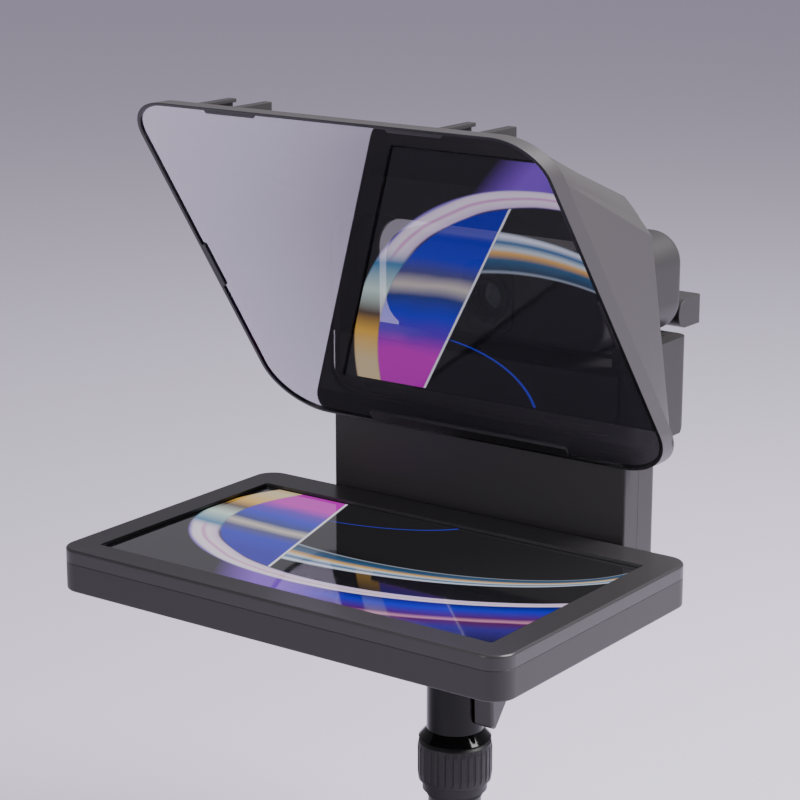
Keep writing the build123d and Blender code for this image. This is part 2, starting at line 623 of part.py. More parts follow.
def mirror_slab(inset, depth0, depth1, low_inset=None):
    """A plate parallel to the mirror, between two depths; its edges run straight back along +Y."""
    low_half, high_half, low, high = front_outline(inset, low_inset)
    outline = make_face(Polyline((-low_half, low), (low_half, low), (high_half, high), (-high_half, high),
                                 close=True))
    corners = outline.vertices().sort_by(Axis.Y)
    outline = fillet(corners[:2], HOOD_LOW_CORNER_R - inset)
    corners = [v for v in outline.vertices() if v.Y > high - 0.01]
    outline = fillet(corners, HOOD_HIGH_CORNER_R - inset)
    return extrude(mirror_plane(depth0) * outline, amount=(depth1 - depth0) / TILT_SIN, dir=(0, 1, 0))


def rounded_corner(before, corner, after, radius):
    """The two tangent points and the middle point of a rounded corner."""
    corner = Vector(*corner)
    to_before = (Vector(*before) - corner).normalized()
    to_after = (Vector(*after) - corner).normalized()
    half_angle = math.radians(to_before.get_angle(to_after)) / 2
    run = radius / math.tan(half_angle)
    middle = (to_before + to_after).normalized() * (radius / math.sin(half_angle) - radius)
    return corner + to_before * run, corner + middle, corner + to_after * run


def tilted_wire(inset, depth, low_inset, low_corner):
    """The front outline as a wire whose edges match those of back_wire one to one."""
    low_half, high_half, low, high = front_outline(inset, low_inset)
    a, b, c = (low_half, low, 0), (high_half, high, 0), (-high_half, high, 0)
    low_arc = rounded_corner((-low_half, low, 0), a, b, low_corner)
    high_arc = rounded_corner(a, b, c, HOOD_HIGH_CORNER_R - inset)
    step = high_arc[0] + (low_arc[2] - high_arc[0]).normalized() * LINING_THICKNESS * 2
    return mirrored_wire(mirror_plane(depth), low_arc, step, high_arc)


def mirrored_wire(plane, low_arc, step, high_arc):
    flip = [Vector(-p.X, p.Y, 0) for p in (*low_arc, step, *high_arc)]
    low_l, step_l, high_l = flip[:3], flip[3], flip[4:]
    edges = [
        Edge.make_line(low_l[0], low_arc[0]),
        Edge.make_three_point_arc(*low_arc),
        Edge.make_line(low_arc[2], step),
        Edge.make_line(step, high_arc[0]),
        Edge.make_three_point_arc(*high_arc),
        Edge.make_line(high_arc[2], high_l[2]),
        Edge.make_three_point_arc(high_l[2], high_l[1], high_l[0]),
        Edge.make_line(high_l[0], step_l),
        Edge.make_line(step_l, low_l[2]),
        Edge.make_three_point_arc(low_l[2], low_l[1], low_l[0]),
    ]
    return plane * Wire(edges)


def back_wire(inset, y, low_z):
    """The hood's upright back outline: a tapered sheet with chamfered shoulders."""
    top = Vector(BACK_HIGH_HALF - EIGHTH_TAN * inset, BACK_HIGH_Z - inset, 0)
    side = Vector(BACK_SIDE_HALF - inset, BACK_SIDE_Z - EIGHTH_TAN * inset, 0)
    low_half = BACK_LOW_HALF - inset
    low_arc = rounded_corner((-low_half, low_z, 0), (low_half, low_z, 0), (side.X, side.Y, 0),
                             BACK_LOW_CORNER)
    shoulder = top + (side - top) * CHAMFER_SHARE
    bulge = (top - side).normalized().cross(Vector(0, 0, 1)).normalized() * 0.3
    middle = (top + shoulder) * 0.5 + bulge
    upright = Plane(origin=(0, y, 0), x_dir=(1, 0, 0), z_dir=(0, -1, 0))
    return mirrored_wire(upright, low_arc, side, (shoulder, middle, top))


def hood_body():
    """The hood behind its flange, solid: from the tilted outline to the upright back outline."""
    front = tilted_wire(BODY_STEP, FLANGE_DEPTH - BODY_LAP, BODY_LOW_INSET, BODY_LOW_CORNER_R)
    return Solid.make_loft([front, back_wire(0, HOOD_BACK_Y, BACK_LOW_Z)], ruled=True)


def hood_cavity(skin):
    """The hood's inside, shrunk by a skin."""
    inset = HOOD_RIM + MIRROR_SEAT + skin
    front = tilted_wire(inset, POCKET_DEPTH, MIRROR_LOW_SEAT + skin, HOOD_LOW_CORNER_R - inset)
    back = back_wire(HOOD_WALL + skin, HOOD_FRAME_Y, WINDOW_LOW_Z - CAVITY_BELOW_WINDOW + skin)
    return Solid.make_loft([front, back], ruled=True)


def hood_flange():
    """The tilted plate round the mirror; the column's front face trims it at the back."""
    flange = mirror_slab(0, 0, FLANGE_DEPTH)
    half = COLUMN_WIDTH / 2 + SLIDE_GAP
    return flange - block(-half, half, HOOD_BACK_Y, HOOD_BACK_Y + FLANGE_RUN, COLUMN_BOTTOM_Z, BACK_SIDE_Z)


def hood_shell():
    shell = hood_flange() + hood_body()
    shell -= mirror_slab(HOOD_RIM, 0, POCKET_DEPTH)
    shell -= hood_cavity(0)
    shell -= slab_y(WINDOW_HALF, WINDOW_LOW_Z, WINDOW_HIGH_Z, HOOD_FRAME_Y - 1, HOOD_BACK_Y, WINDOW_CORNER_R)
    for x in HOOD_SCREW_XS:
        shell -= rod_y(SCREW_R + SCREW_GAP, HOOD_BACK_Y - HOOD_SCREW_BITE, HOOD_BACK_Y, x, HOOD_SCREW_Z)
    y0 = HOOD_BACK_Y - HOOD_SCREW_BITE
    for x in both_sides([SHROUD_SCREW_X]):
        shell -= rod_y(FINE_SCREW_R + SCREW_GAP, y0, HOOD_BACK_Y, x, shroud_screw_z())
    return shell


def hood_lining():
    """Thin black flock sheet on the hood's side and roof walls."""
    return hood_cavity(0) - hood_cavity(LINING_THICKNESS)


def glass_gasket():
    """Foam ring between the glass's rear face and its seat."""
    ring = mirror_slab(HOOD_RIM, MIRROR_REAR, POCKET_DEPTH)
    return ring - mirror_slab(HOOD_RIM + MIRROR_SEAT, MIRROR_REAR, POCKET_DEPTH, MIRROR_LOW_SEAT)


def mirror_glass():
    return mirror_slab(HOOD_RIM, MIRROR_SETBACK, MIRROR_REAR)


def glass_clip(x, slant, turn, length, reach):
    """A snap clip at a spot of the rim's inner edge, turned to reach inwards over the glass."""
    middle = Pos(0, (reach - CLIP_ROOT) / 2, -MIRROR_SETBACK / 2)
    plate = middle * Box(length, reach + CLIP_ROOT, MIRROR_SETBACK)
    tip_edges = plate.edges().filter_by(Axis.Z).sort_by(Axis.Y)[-2:]
    plate = fillet(tip_edges, CLIP_TIP_R)
    placed = mirror_plane(0).location * Pos(x, slant, 0) * Rot(0, 0, turn) * plate
    return placed & mirror_slab(HOOD_RIM, 0, MIRROR_SETBACK)


def top_glass_clips():
    slant = HOOD_SLANT - HOOD_RIM
    return [glass_clip(x, slant, 180, CLIP_LENGTH, CLIP_REACH) for x in both_sides([CLIP_TOP_X])]


def side_glass_clips():
    lean = math.degrees(math.atan(EDGE_TAPER))
    x = HOOD_LOW_WIDTH / 2 - EDGE_TAPER * CLIP_SIDE_SLANT - HOOD_RIM
    right = glass_clip(x, CLIP_SIDE_SLANT, 90 + lean, CLIP_LENGTH, CLIP_REACH)
    left = glass_clip(-x, CLIP_SIDE_SLANT, -90 - lean, CLIP_LENGTH, CLIP_REACH)
    return [left, right]


def bottom_glass_bar():
    return glass_clip(0, HOOD_RIM, 0, LOW_BAR_LENGTH, LOW_BAR_REACH)


def accessory_shoes():
    """Four rails with inward lips, level on top, that form two accessory shoes on the hood's roof."""
    roof = hood_body() + hood_flange()
    y0, y1 = SHOE_FRONT_Y, SHOE_FRONT_Y + SHOE_LENGTH
    rails = []
    for centre in both_sides([SHOE_CENTRE_X]):
        for side in (-1, 1):
            inner = centre + side * SHOE_SLOT / 2
            outer = inner + side * SHOE_RAIL
            lip = inner - side * SHOE_LIP
            wall = block(min(inner, outer), max(inner, outer), y0, y1, SHOE_TOP_Z - SHOE_ROOT, SHOE_TOP_Z)
            lip_z = SHOE_TOP_Z - SHOE_LIP_THICKNESS
            top = block(min(lip, outer), max(lip, outer), y0, y1, lip_z, SHOE_TOP_Z)
            shoe = (wall + top) - roof
            rails.append(shoe.solids().sort_by(SortBy.VOLUME)[-1])
    return rails


# ================================================================ camera shroud
def shroud_screw_z():
    return SHROUD_TOP_Z - SHROUD_TOP_WALL / 2


def camera_shroud():
    """Black box round the camera's nose; the column's top closes it from below."""
    y0, y1 = COLUMN_FRONT_Y, COLUMN_FRONT_Y + SHROUD_DEPTH
    tall = SHROUD_TOP_Z - COLUMN_TOP_Z
    outside = slab_y(SHROUD_HALF, COLUMN_TOP_Z - tall, SHROUD_TOP_Z, y0, y1, SHROUD_CORNER_R)
    inside = slab_y(SHROUD_HALF - SHROUD_WALL, COLUMN_TOP_Z - tall, SHROUD_TOP_Z - SHROUD_TOP_WALL,
                    y0, y1 - SHROUD_WALL, SHROUD_CORNER_R - SHROUD_WALL)
    outside += slab_y(SHROUD_HALF + SHROUD_FLANGE, COLUMN_TOP_Z - tall, SHROUD_TOP_Z + SHROUD_FLANGE,
                      y0, y0 + SHROUD_FLANGE_THICKNESS, SHROUD_CORNER_R + SHROUD_FLANGE)
    window_half = CAM_HALF + CAM_WINDOW_GAP
    window = slab_y(window_half, COLUMN_TOP_Z - tall, CAM_HIGH_Z + CAM_WINDOW_GAP, y0, y1, CAM_CORNER_R)
    shroud = outside - inside - window
    shroud &= block(-HOOD_LOW_WIDTH, HOOD_LOW_WIDTH, y0, y1, COLUMN_TOP_Z, HOOD_LOW_Z + HOOD_SLANT)
    for x in both_sides([SHROUD_SCREW_X]):
        shroud -= rod_y(FINE_SCREW_R + SCREW_GAP, y0, y1, x, shroud_screw_z())
    return shroud


# ================================================================ webcam
def cam_slab(inset, y0, y1):
    return slab_y(CAM_HALF - inset, CAM_LOW_Z + inset, CAM_HIGH_Z - inset, y0, y1, CAM_CORNER_R - inset)


def camera_front_shell():
    shell = cam_slab(0, CAM_FRONT_Y, CAM_SPLIT_Y)
    shell = fillet(shell.faces().sort_by(Axis.Y)[0].edges(), CAM_EDGE_R)
    shell -= cam_slab(CAM_WALL, CAM_FRONT_Y + CAM_WALL, CAM_SPLIT_Y)
    panel_depth = LENS_PANEL_THICKNESS - LENS_PANEL_PROUD
    shell -= lens_plate(SCREW_GAP, CAM_FRONT_Y, CAM_FRONT_Y + panel_depth)
    shell -= rod_y(LENS_BARREL_R + SCREW_GAP, CAM_FRONT_Y, CAM_FRONT_Y + CAM_WALL, 0, LENS_Z)
    for x in CAM_SCREW_XS:
        shell += rod_y(BOSS_R, CAM_FRONT_Y + CAM_WALL, CAM_SPLIT_Y, x, cam_mid_z())
        shell -= rod_y(SCREW_R + SCREW_GAP, CAM_FRONT_Y + CAM_WALL + 1, CAM_SPLIT_Y, x, cam_mid_z())
    return shell


def cam_mid_z():
    return (CAM_LOW_Z + CAM_HIGH_Z) / 2


def lens_square(half, y0, y1, corner):
    return slab_y(half, LENS_Z - half, LENS_Z + half, y0, y1, corner)


def lens_plate(gap, y0, y1):
    half_height = LENS_PANEL_HALF_HEIGHT + gap
    return slab_y(LENS_PANEL_HALF + gap, LENS_Z - half_height, LENS_Z + half_height, y0, y1, LENS_PANEL_R)


def camera_rear_shell():
    shell = cam_slab(0, CAM_SPLIT_Y, CAM_BACK_Y)
    shell = fillet(shell.faces().sort_by(Axis.Y)[-1].edges(), CAM_REAR_EDGE_R)
    hollow = cam_slab(CAM_WALL, CAM_SPLIT_Y, CAM_BACK_Y - CAM_WALL)
    shell -= fillet(hollow.faces().sort_by(Axis.Y)[-1].edges(), CAM_REAR_EDGE_R - CAM_WALL)
    for x in CAM_SCREW_XS:
        shell += rod_y(BOSS_R, CAM_SPLIT_Y, CAM_BACK_Y - CAM_WALL, x, cam_mid_z())
        shell -= rod_y(SCREW_R + SCREW_GAP, CAM_SPLIT_Y, CAM_BACK_Y, x, cam_mid_z())
        shell -= rod_y(SCREW_HEAD_R + SCREW_GAP, CAM_BACK_Y - SCREW_HEAD, CAM_BACK_Y, x, cam_mid_z())
    shell += rod_z(INSERT_R + CAM_WALL, CAM_LOW_Z, CAM_LOW_Z + INSERT_LENGTH + CAM_WALL, 0, CAM_SCREW_Y)
    shell -= rod_z(INSERT_R, CAM_LOW_Z, CAM_LOW_Z + INSERT_LENGTH, 0, CAM_SCREW_Y)
    for x in both_sides([EAR_X]):
        x0, x1 = x - EAR_WIDTH / 2, x + EAR_WIDTH / 2
        ear = rod_x(EAR_R, x0, x1, ARM_AXIS_Y, ARM_AXIS_Z)
        ear += block(x0, x1, CAM_BACK_Y - EAR_ROOT, ARM_AXIS_Y, ARM_AXIS_Z - EAR_R, ARM_AXIS_Z + EAR_R)
        shell += ear
        shell -= rod_x(ARM_PIN_R, x0, x1, ARM_AXIS_Y, ARM_AXIS_Z)
    return shell


def tripod_insert():
    ring = rod_z(INSERT_R, CAM_LOW_Z, CAM_LOW_Z + INSERT_LENGTH, 0, CAM_SCREW_Y)
    return ring - rod_z(CAM_SCREW_R + RUN_GAP, CAM_LOW_Z, CAM_LOW_Z + INSERT_LENGTH, 0, CAM_SCREW_Y)


def lens_panel():
    y0 = CAM_FRONT_Y - LENS_PANEL_PROUD
    panel = lens_plate(0, y0, y0 + LENS_PANEL_THICKNESS)
    panel = fillet(panel.faces().sort_by(Axis.Y)[0].edges(), LENS_PANEL_PROUD / 2)
    return panel - rod_y(LENS_BARREL_R + SCREW_GAP, y0, y0 + LENS_PANEL_THICKNESS, 0, LENS_Z)


def lens_ring():
    y1 = CAM_FRONT_Y - LENS_PANEL_PROUD
    ring = rod_y(LENS_RING_R, LENS_FRONT_Y, y1, 0, LENS_Z)
    ring -= rod_y(LENS_BARREL_R + SCREW_GAP, LENS_FRONT_Y, y1, 0, LENS_Z)
    return fillet(ring.faces().sort_by(Axis.Y)[0].edges(), LENS_RING_EDGE_R)


def lens_barrel():
    """Turned barrel with a flared mouth."""
    barrel = rod_y(LENS_BARREL_R, LENS_FRONT_Y, SENSOR_Y, 0, LENS_Z)
    barrel -= rod_y(LENS_GLASS_R, LENS_FRONT_Y, SENSOR_Y, 0, LENS_Z)
    mouth = Cone(LENS_BARREL_R - LENS_LIP, LENS_GLASS_R, LENS_MOUTH)
    return barrel - Pos(0, LENS_FRONT_Y + LENS_MOUTH / 2, LENS_Z) * Rot(-90, 0, 0) * mouth


def lens_element(y_front, thickness, dome):
    """A plano-convex lens whose dome faces the reader."""
    flat = rod_y(LENS_GLASS_R, y_front + dome, y_front + dome + thickness, 0, LENS_Z)
    radius = (LENS_GLASS_R ** 2 + dome ** 2) / (2 * dome)
    cap = Pos(0, y_front + radius, LENS_Z) * Sphere(radius)
    cap &= rod_y(LENS_GLASS_R, y_front, y_front + dome, 0, LENS_Z)
    return flat + cap


SENSOR_BOARD_HALF = CAM_HEIGHT / 2 - CAM_WALL - LENS_BELOW_MIDDLE - 1.0
SENSOR_BOARD_CORNER_R = 2.0
SPACER_HALF = 6.0
SPACER_CORNER_R = 1.0
MAIN_BOARD_SIDE_GAP = 3.0
MAIN_BOARD_LOW_GAP = 14.0
MAIN_BOARD_HIGH_GAP = 6.0
MAIN_BOARD_CORNER_R = 4.0
HEAT_SINK_INSET = 2.0


def sensor_board():
    y1 = SENSOR_BOARD_Y + BOARD_THICKNESS
    return lens_square(SENSOR_BOARD_HALF, SENSOR_BOARD_Y, y1, SENSOR_BOARD_CORNER_R)


def image_sensor():
    return slab_y(SENSOR_HALF, LENS_Z - SENSOR_HALF_HEIGHT, LENS_Z + SENSOR_HALF_HEIGHT,
                  SENSOR_Y, SENSOR_BOARD_Y, SENSOR_CORNER_R)


def camera_main_board():
    """Processor board on the rear shell's screw bosses, with a spacer to the sensor's board."""
    half = CAM_HALF - CAM_WALL - MAIN_BOARD_SIDE_GAP
    board = slab_y(half, CAM_LOW_Z + MAIN_BOARD_LOW_GAP, CAM_HIGH_Z - MAIN_BOARD_HIGH_GAP,
                   MAIN_BOARD_Y, HEAT_SINK_Y, MAIN_BOARD_CORNER_R)
    for x in CAM_SCREW_XS:
        board -= rod_y(BOSS_R, MAIN_BOARD_Y, HEAT_SINK_Y, x, cam_mid_z())
    return board + lens_square(SPACER_HALF, SENSOR_BOARD_Y + BOARD_THICKNESS, MAIN_BOARD_Y, SPACER_CORNER_R)


def heat_sink():
    """Finned aluminium plate on the processor board."""
    z0 = CAM_LOW_Z + MAIN_BOARD_LOW_GAP + HEAT_SINK_INSET
    z1 = CAM_HIGH_Z - MAIN_BOARD_HIGH_GAP - HEAT_SINK_INSET
    fin_y = HEAT_SINK_Y + HEAT_SINK_BASE
    sink = slab_y(HEAT_SINK_HALF, z0, z1, HEAT_SINK_Y, fin_y, HEAT_SINK_INSET)
    for i in range(-FINS_EACH_SIDE, FINS_EACH_SIDE + 1):
        x = i * FIN_PITCH
        sink += block(x - FIN_HALF_THICKNESS, x + FIN_HALF_THICKNESS, fin_y, fin_y + FIN_HEIGHT, z0, z1)
    return sink


# ================================================================ folding clip behind the webcam
def clip_arm():
    arm = rod_x(ARM_THICKNESS / 2, -ARM_HALF, ARM_HALF, ARM_AXIS_Y, ARM_AXIS_Z)
    tail = block(-ARM_HALF, ARM_HALF, ARM_AXIS_Y, ARM_AXIS_Y + ARM_TAIL,
                 ARM_AXIS_Z - ARM_THICKNESS / 2, ARM_AXIS_Z + ARM_THICKNESS / 2)
    tail = fillet(tail.faces().sort_by(Axis.Y)[-1].edges().filter_by(Axis.Z), ARM_EDGE_R)
    arm += tail
    for x in both_sides([EAR_X]):
        half = EAR_WIDTH / 2 + SLIDE_GAP
        arm -= block(x - half, x + half, CAM_BACK_Y, ARM_AXIS_Y + EAR_R + 2 * SLIDE_GAP,
                     ARM_AXIS_Z - ARM_THICKNESS, ARM_AXIS_Z + ARM_THICKNESS)
    reach = EAR_X + EAR_WIDTH
    return arm - rod_x(ARM_PIN_R + RUN_GAP, -reach - 0.5, reach + 0.5, ARM_AXIS_Y, ARM_AXIS_Z)


def clip_pin():
    reach = EAR_X + EAR_WIDTH
    return rod_x(ARM_PIN_R, -reach, reach, ARM_AXIS_Y, ARM_AXIS_Z)


# ================================================================ camera platform
def camera_platform():
    """Hollow box with a flat top, open below, that runs on the column's rails."""
    box = block(-PLATFORM_HALF, PLATFORM_HALF, PLATFORM_FRONT_Y, PLATFORM_BACK_Y,
                PLATFORM_LOW_Z, PLATFORM_TOP_Z)
    box = fillet(box.faces().sort_by(Axis.Y)[-1].edges().filter_by(Axis.Z), PLATFORM_EDGE_R)
    slope = Plane.YZ.offset(-PLATFORM_HALF - 1) * make_face(Polyline(
        (PLATFORM_BACK_Y - PLATFORM_LOW_CHAMFER, PLATFORM_LOW_Z),
        (PLATFORM_BACK_Y + 1, PLATFORM_LOW_Z),
        (PLATFORM_BACK_Y + 1, PLATFORM_LOW_Z + PLATFORM_LOW_CHAMFER + 1),
        close=True))
    box -= extrude(slope, amount=2 * PLATFORM_HALF + 2)
    inner_half = PLATFORM_HALF - PLATFORM_WALL
    box -= slab_z(inner_half, PLATFORM_FRONT_Y + PLATFORM_WALL + RAIL_PROUD, PLATFORM_BACK_Y - PLATFORM_WALL,
                  PLATFORM_LOW_Z, PLATFORM_TOP_Z - PLATFORM_TOP_WALL, PLATFORM_EDGE_R - PLATFORM_WALL)
    for x in both_sides([RAIL_X]):
        half = RAIL_WIDTH / 2 + SLIDE_GAP
        box -= block(x - half, x + half, PLATFORM_FRONT_Y, COLUMN_BACK_Y + RAIL_PROUD + SLIDE_GAP,
                     PLATFORM_LOW_Z, PLATFORM_TOP_Z)
    box -= rod_y(CLAMP_SHAFT_R + RUN_GAP, PLATFORM_FRONT_Y, PLATFORM_BACK_Y, 0, CLAMP_Z)
    return box - screw_slot(PLATFORM_TOP_Z - PLATFORM_TOP_WALL, PLATFORM_TOP_Z)


def screw_slot(z0, z1):
    """The slot that lets the camera screw travel backwards."""
    radius = CAM_SCREW_R + SLIDE_GAP
    slot = block(-radius, radius, CAM_SCREW_Y, CAM_SCREW_Y + CAM_TRAVEL, z0, z1)
    return slot + rod_z(radius, z0, z1, 0, CAM_SCREW_Y) + rod_z(radius, z0, z1, 0, CAM_SCREW_Y + CAM_TRAVEL)


def platform_pad():
    pad = slab_z(PLATFORM_HALF - PAD_SIDE_GAP, PLATFORM_FRONT_Y + PAD_END_GAP, PLATFORM_BACK_Y - PAD_END_GAP,
                 PLATFORM_TOP_Z, PLATFORM_TOP_Z + PAD_THICKNESS, PAD_CORNER_R)
    return pad - screw_slot(PLATFORM_TOP_Z, PLATFORM_TOP_Z + PAD_THICKNESS)


def clamp_nut():
    """Square nut inside the column; its neck passes through the slot to the platform's front wall."""
    y1 = COLUMN_BACK_Y - COLUMN_WALL - SLIDE_GAP
    y0 = y1 - CLAMP_NUT_THICKNESS
    half = CLAMP_NUT_WIDTH / 2
    neck = CLAMP_NECK_HALF
    nut = block(-half, half, y0, y1, CLAMP_Z - half, CLAMP_Z + half)
    nut += block(-neck, neck, y1, PLATFORM_FRONT_Y, CLAMP_Z - neck, CLAMP_Z + neck)
    return nut - rod_y(CLAMP_SHAFT_R + RUN_GAP, y0, PLATFORM_FRONT_Y, 0, CLAMP_Z)


def fluted_knob(radius, length, flutes, flute_r):
    """A finger knob along local Z with scalloped sides."""
    knob = Pos(0, 0, length / 2) * Cylinder(radius, length)
    flute = Pos(radius + flute_r * KNOB_FLUTE_OUT, 0, length / 2) * Cylinder(flute_r, length)
    for i in range(flutes):
        knob -= Rot(0, 0, i * 360 / flutes) * flute
    return knob


def platform_knob():
    y0 = PLATFORM_BACK_Y + SLIDE_GAP
    knob = fluted_knob(CLAMP_KNOB_R, CLAMP_KNOB_LENGTH, CLAMP_KNOB_FLUTES, CLAMP_KNOB_FLUTE_R)
    knob = Pos(0, y0, CLAMP_Z) * Rot(-90, 0, 0) * knob
    shaft_y = COLUMN_BACK_Y - COLUMN_WALL - SLIDE_GAP - CLAMP_NUT_THICKNESS - 1
    return knob + rod_y(CLAMP_SHAFT_R, shaft_y, y0 + 1, 0, CLAMP_Z)


def camera_screw():
    z1 = PLATFORM_TOP_Z - PLATFORM_TOP_WALL - SLIDE_GAP
    z0 = z1 - CAM_KNOB_LENGTH
    knob = fluted_knob(CAM_KNOB_R, CAM_KNOB_LENGTH, CAM_KNOB_FLUTES, CAM_KNOB_FLUTE_R)
    knob = Pos(0, CAM_SCREW_Y, z0) * knob
    return knob + rod_z(CAM_SCREW_R, z1 - 1, CAM_LOW_Z + INSERT_LENGTH - 1, 0, CAM_SCREW_Y)


# ================================================================ ball head
def ball_stem():
    """Ball, neck, mounting disc and stand thread, turned from one bar."""
    disc_z = TRAY_BOTTOM_Z - DISC_THICKNESS
    stem = Pos(0, 0, BALL_Z) * Sphere(BALL_R) + rod_z(STEM_R, BALL_Z, disc_z + 1)
    disc = rod_z(DISC_R, disc_z, TRAY_BOTTOM_Z)
    disc = fillet(disc.faces().sort_by(Axis.Z)[0].edges(), 2.0)
    stem += disc
    return stem + rod_z(STUD_R, TRAY_BOTTOM_Z - 1, TRAY_BOTTOM_Z + STUD_LENGTH)


def spherical_bowl(inner_r, outer_r, top_z):
    bowl = Pos(0, 0, BALL_Z) * Sphere(outer_r) - Pos(0, 0, BALL_Z) * Sphere(inner_r)
    return bowl & rod_z(outer_r + 1, BALL_Z - outer_r - 1, top_z)


def cup_rim_z():
    return BALL_Z - BALL_R * math.sin(math.radians(BALL_CUP_RIM))


def ball_cup():
    return spherical_bowl(BALL_R + RUN_GAP, BALL_R + BALL_CUP_WALL, cup_rim_z())


def ball_housing():
    top = BALL_Z + SOCKET_LIP
    body = rod_z(HOUSING_R, HOUSING_LOW_Z, top)
    body = fillet(body.faces().sort_by(Axis.Z)[-1].edges(), 1.0)
    body -= Pos(0, 0, BALL_Z) * Sphere(BALL_R + RUN_GAP)
    cup_r = BALL_R + BALL_CUP_WALL + RUN_GAP
    body -= (Pos(0, 0, BALL_Z) * Sphere(cup_r)) & rod_z(cup_r + 1, BALL_Z - cup_r - 1, BALL_Z)
    body -= rod_z(SPINDLE_R + RUN_GAP, HOUSING_LOW_Z, HOUSING_LOW_Z + SPINDLE_LENGTH + SLIDE_GAP)
    body -= rod_x(LEVER_SCREW_R + RUN_GAP, HOUSING_R - LEVER_SCREW_LENGTH - 0.5, HOUSING_R, 0, LEVER_AXIS_Z)
    return body


def pan_base():
    """Flared skirt of the head: its spindle carries the housing and its spigot fills the inner tube."""
    skirt = turned([(0, SKIRT_LOW_Z), (SKIRT_R, SKIRT_LOW_Z), (HOUSING_R, SKIRT_HIGH_Z), (0, SKIRT_HIGH_Z)])
    spigot_r = INNER_TUBE_R - INNER_TUBE_WALL - RUN_GAP
    skirt += rod_z(SPINDLE_R, SKIRT_HIGH_Z - 1, HOUSING_LOW_Z + SPINDLE_LENGTH)
    return skirt + rod_z(spigot_r, SKIRT_LOW_Z - SPIGOT_LENGTH, SKIRT_LOW_Z + 1)


def lock_lever():
    """Wing lever: a screw with a paddle that hangs down beside the head."""
    x0 = HOUSING_R + LEVER_GAP
    profile = [(y, LEVER_AXIS_Z + z) for y, z in LEVER_PROFILE]
    outline = fillet(make_face(Polyline(*profile, close=True)).vertices(), LEVER_PROFILE_R)
    paddle = extrude(Plane.YZ.offset(x0) * outline, amount=LEVER_WIDTH)
    paddle = fillet(paddle.faces().sort_by(Axis.X)[-1].edges(), LEVER_EDGE_R)
    return paddle + rod_x(LEVER_SCREW_R, HOUSING_R - LEVER_SCREW_LENGTH, x0 + 1, 0, LEVER_AXIS_Z)


# ================================================================ mast
def lower_tube():
    bore = TUBE_R - TUBE_WALL
    return rod_z(TUBE_R, BASE_LIP, TUBE_TOP_Z) - rod_z(bore, BASE_LIP, TUBE_TOP_Z)


def base_plug():
    """Turned plug in the tube's foot, tapped for a stand, clamp or base."""
    plug = rod_z(TUBE_R, 0, BASE_LIP) + rod_z(TUBE_R - TUBE_WALL, BASE_LIP - 1, BASE_PLUG_LENGTH)
    plug = chamfer(plug.faces().sort_by(Axis.Z)[0].edges(), 0.8)
    return plug - rod_z(BASE_THREAD_R, 0, BASE_THREAD_DEPTH)


def collet():
    """Split sleeve in the tube's mouth that the collar squeezes onto the inner tube."""
    bore = INNER_TUBE_R + RUN_GAP
    sleeve = rod_z(TUBE_R - TUBE_WALL, TUBE_TOP_Z - COLLET_LENGTH, TUBE_TOP_Z)
    sleeve += rod_z(TUBE_R, TUBE_TOP_Z, TUBE_TOP_Z + COLLET_FLANGE)
    sleeve -= rod_z(bore, TUBE_TOP_Z - COLLET_LENGTH, TUBE_TOP_Z + COLLET_FLANGE)
    for i in range(COLLET_SLOTS):
        cut = block(0, TUBE_R + 1, -COLLET_SLOT_WIDTH / 2, COLLET_SLOT_WIDTH / 2,
                    TUBE_TOP_Z - COLLET_LENGTH, TUBE_TOP_Z - COLLET_LENGTH / 3)
        sleeve -= Rot(0, 0, i * 360 / COLLET_SLOTS) * cut
    return sleeve


def tube_ring():
    """Stop ring on the tube, below the collar."""
    top = COLLAR_LOW_Z - SLIDE_GAP
    return rod_z(RING_R, top - RING_HEIGHT, top) - rod_z(TUBE_R, top - RING_HEIGHT, top)


def mast_collar():
    """Barrel-shaped twist collar with fine grip flutes."""
    flange_z = TUBE_TOP_Z + COLLET_FLANGE + SLIDE_GAP
    grip_z = COLLAR_LOW_Z + COLLAR_STEP
    body = turned([
        (0, COLLAR_LOW_Z), (COLLAR_WAIST_R, COLLAR_LOW_Z), (COLLAR_WAIST_R, grip_z),
        (COLLAR_R - COLLAR_BULGE, grip_z + COLLAR_CHAMFER), (COLLAR_R, grip_z + COLLAR_RUN),
        (COLLAR_R, COLLAR_HIGH_Z - COLLAR_RUN),
        (COLLAR_R - COLLAR_BULGE, COLLAR_HIGH_Z - 2 * COLLAR_CHAMFER),
        (COLLAR_WAIST_R, COLLAR_HIGH_Z), (0, COLLAR_HIGH_Z),
    ])
    flute_length = COLLAR_HIGH_Z - grip_z - COLLAR_RUN
    flute = Pos(COLLAR_R + COLLAR_FLUTE_R * KNOB_FLUTE_OUT, 0, (grip_z + COLLAR_HIGH_Z) / 2)
    flute *= Cylinder(COLLAR_FLUTE_R, flute_length)
    for i in range(COLLAR_FLUTES):
        body -= Rot(0, 0, i * 360 / COLLAR_FLUTES) * flute
    body -= rod_z(TUBE_R + RUN_GAP, COLLAR_LOW_Z, flange_z)
    return body - rod_z(INNER_TUBE_R + SLIDE_GAP, flange_z, COLLAR_HIGH_Z)


def inner_tube():
    return (rod_z(INNER_TUBE_R, INNER_TUBE_LOW_Z, SKIRT_LOW_Z)
            - rod_z(INNER_TUBE_R - INNER_TUBE_WALL, INNER_TUBE_LOW_Z, SKIRT_LOW_Z))


def guide_bush():
    """Plastic foot of the inner tube that runs in the lower tube."""
    top = INNER_TUBE_LOW_Z + BUSH_GRIP
    bush = rod_z(TUBE_R - TUBE_WALL - RUN_GAP, INNER_TUBE_LOW_Z - BUSH_FLOOR, top)
    return bush - rod_z(INNER_TUBE_R + RUN_GAP, INNER_TUBE_LOW_Z, top)


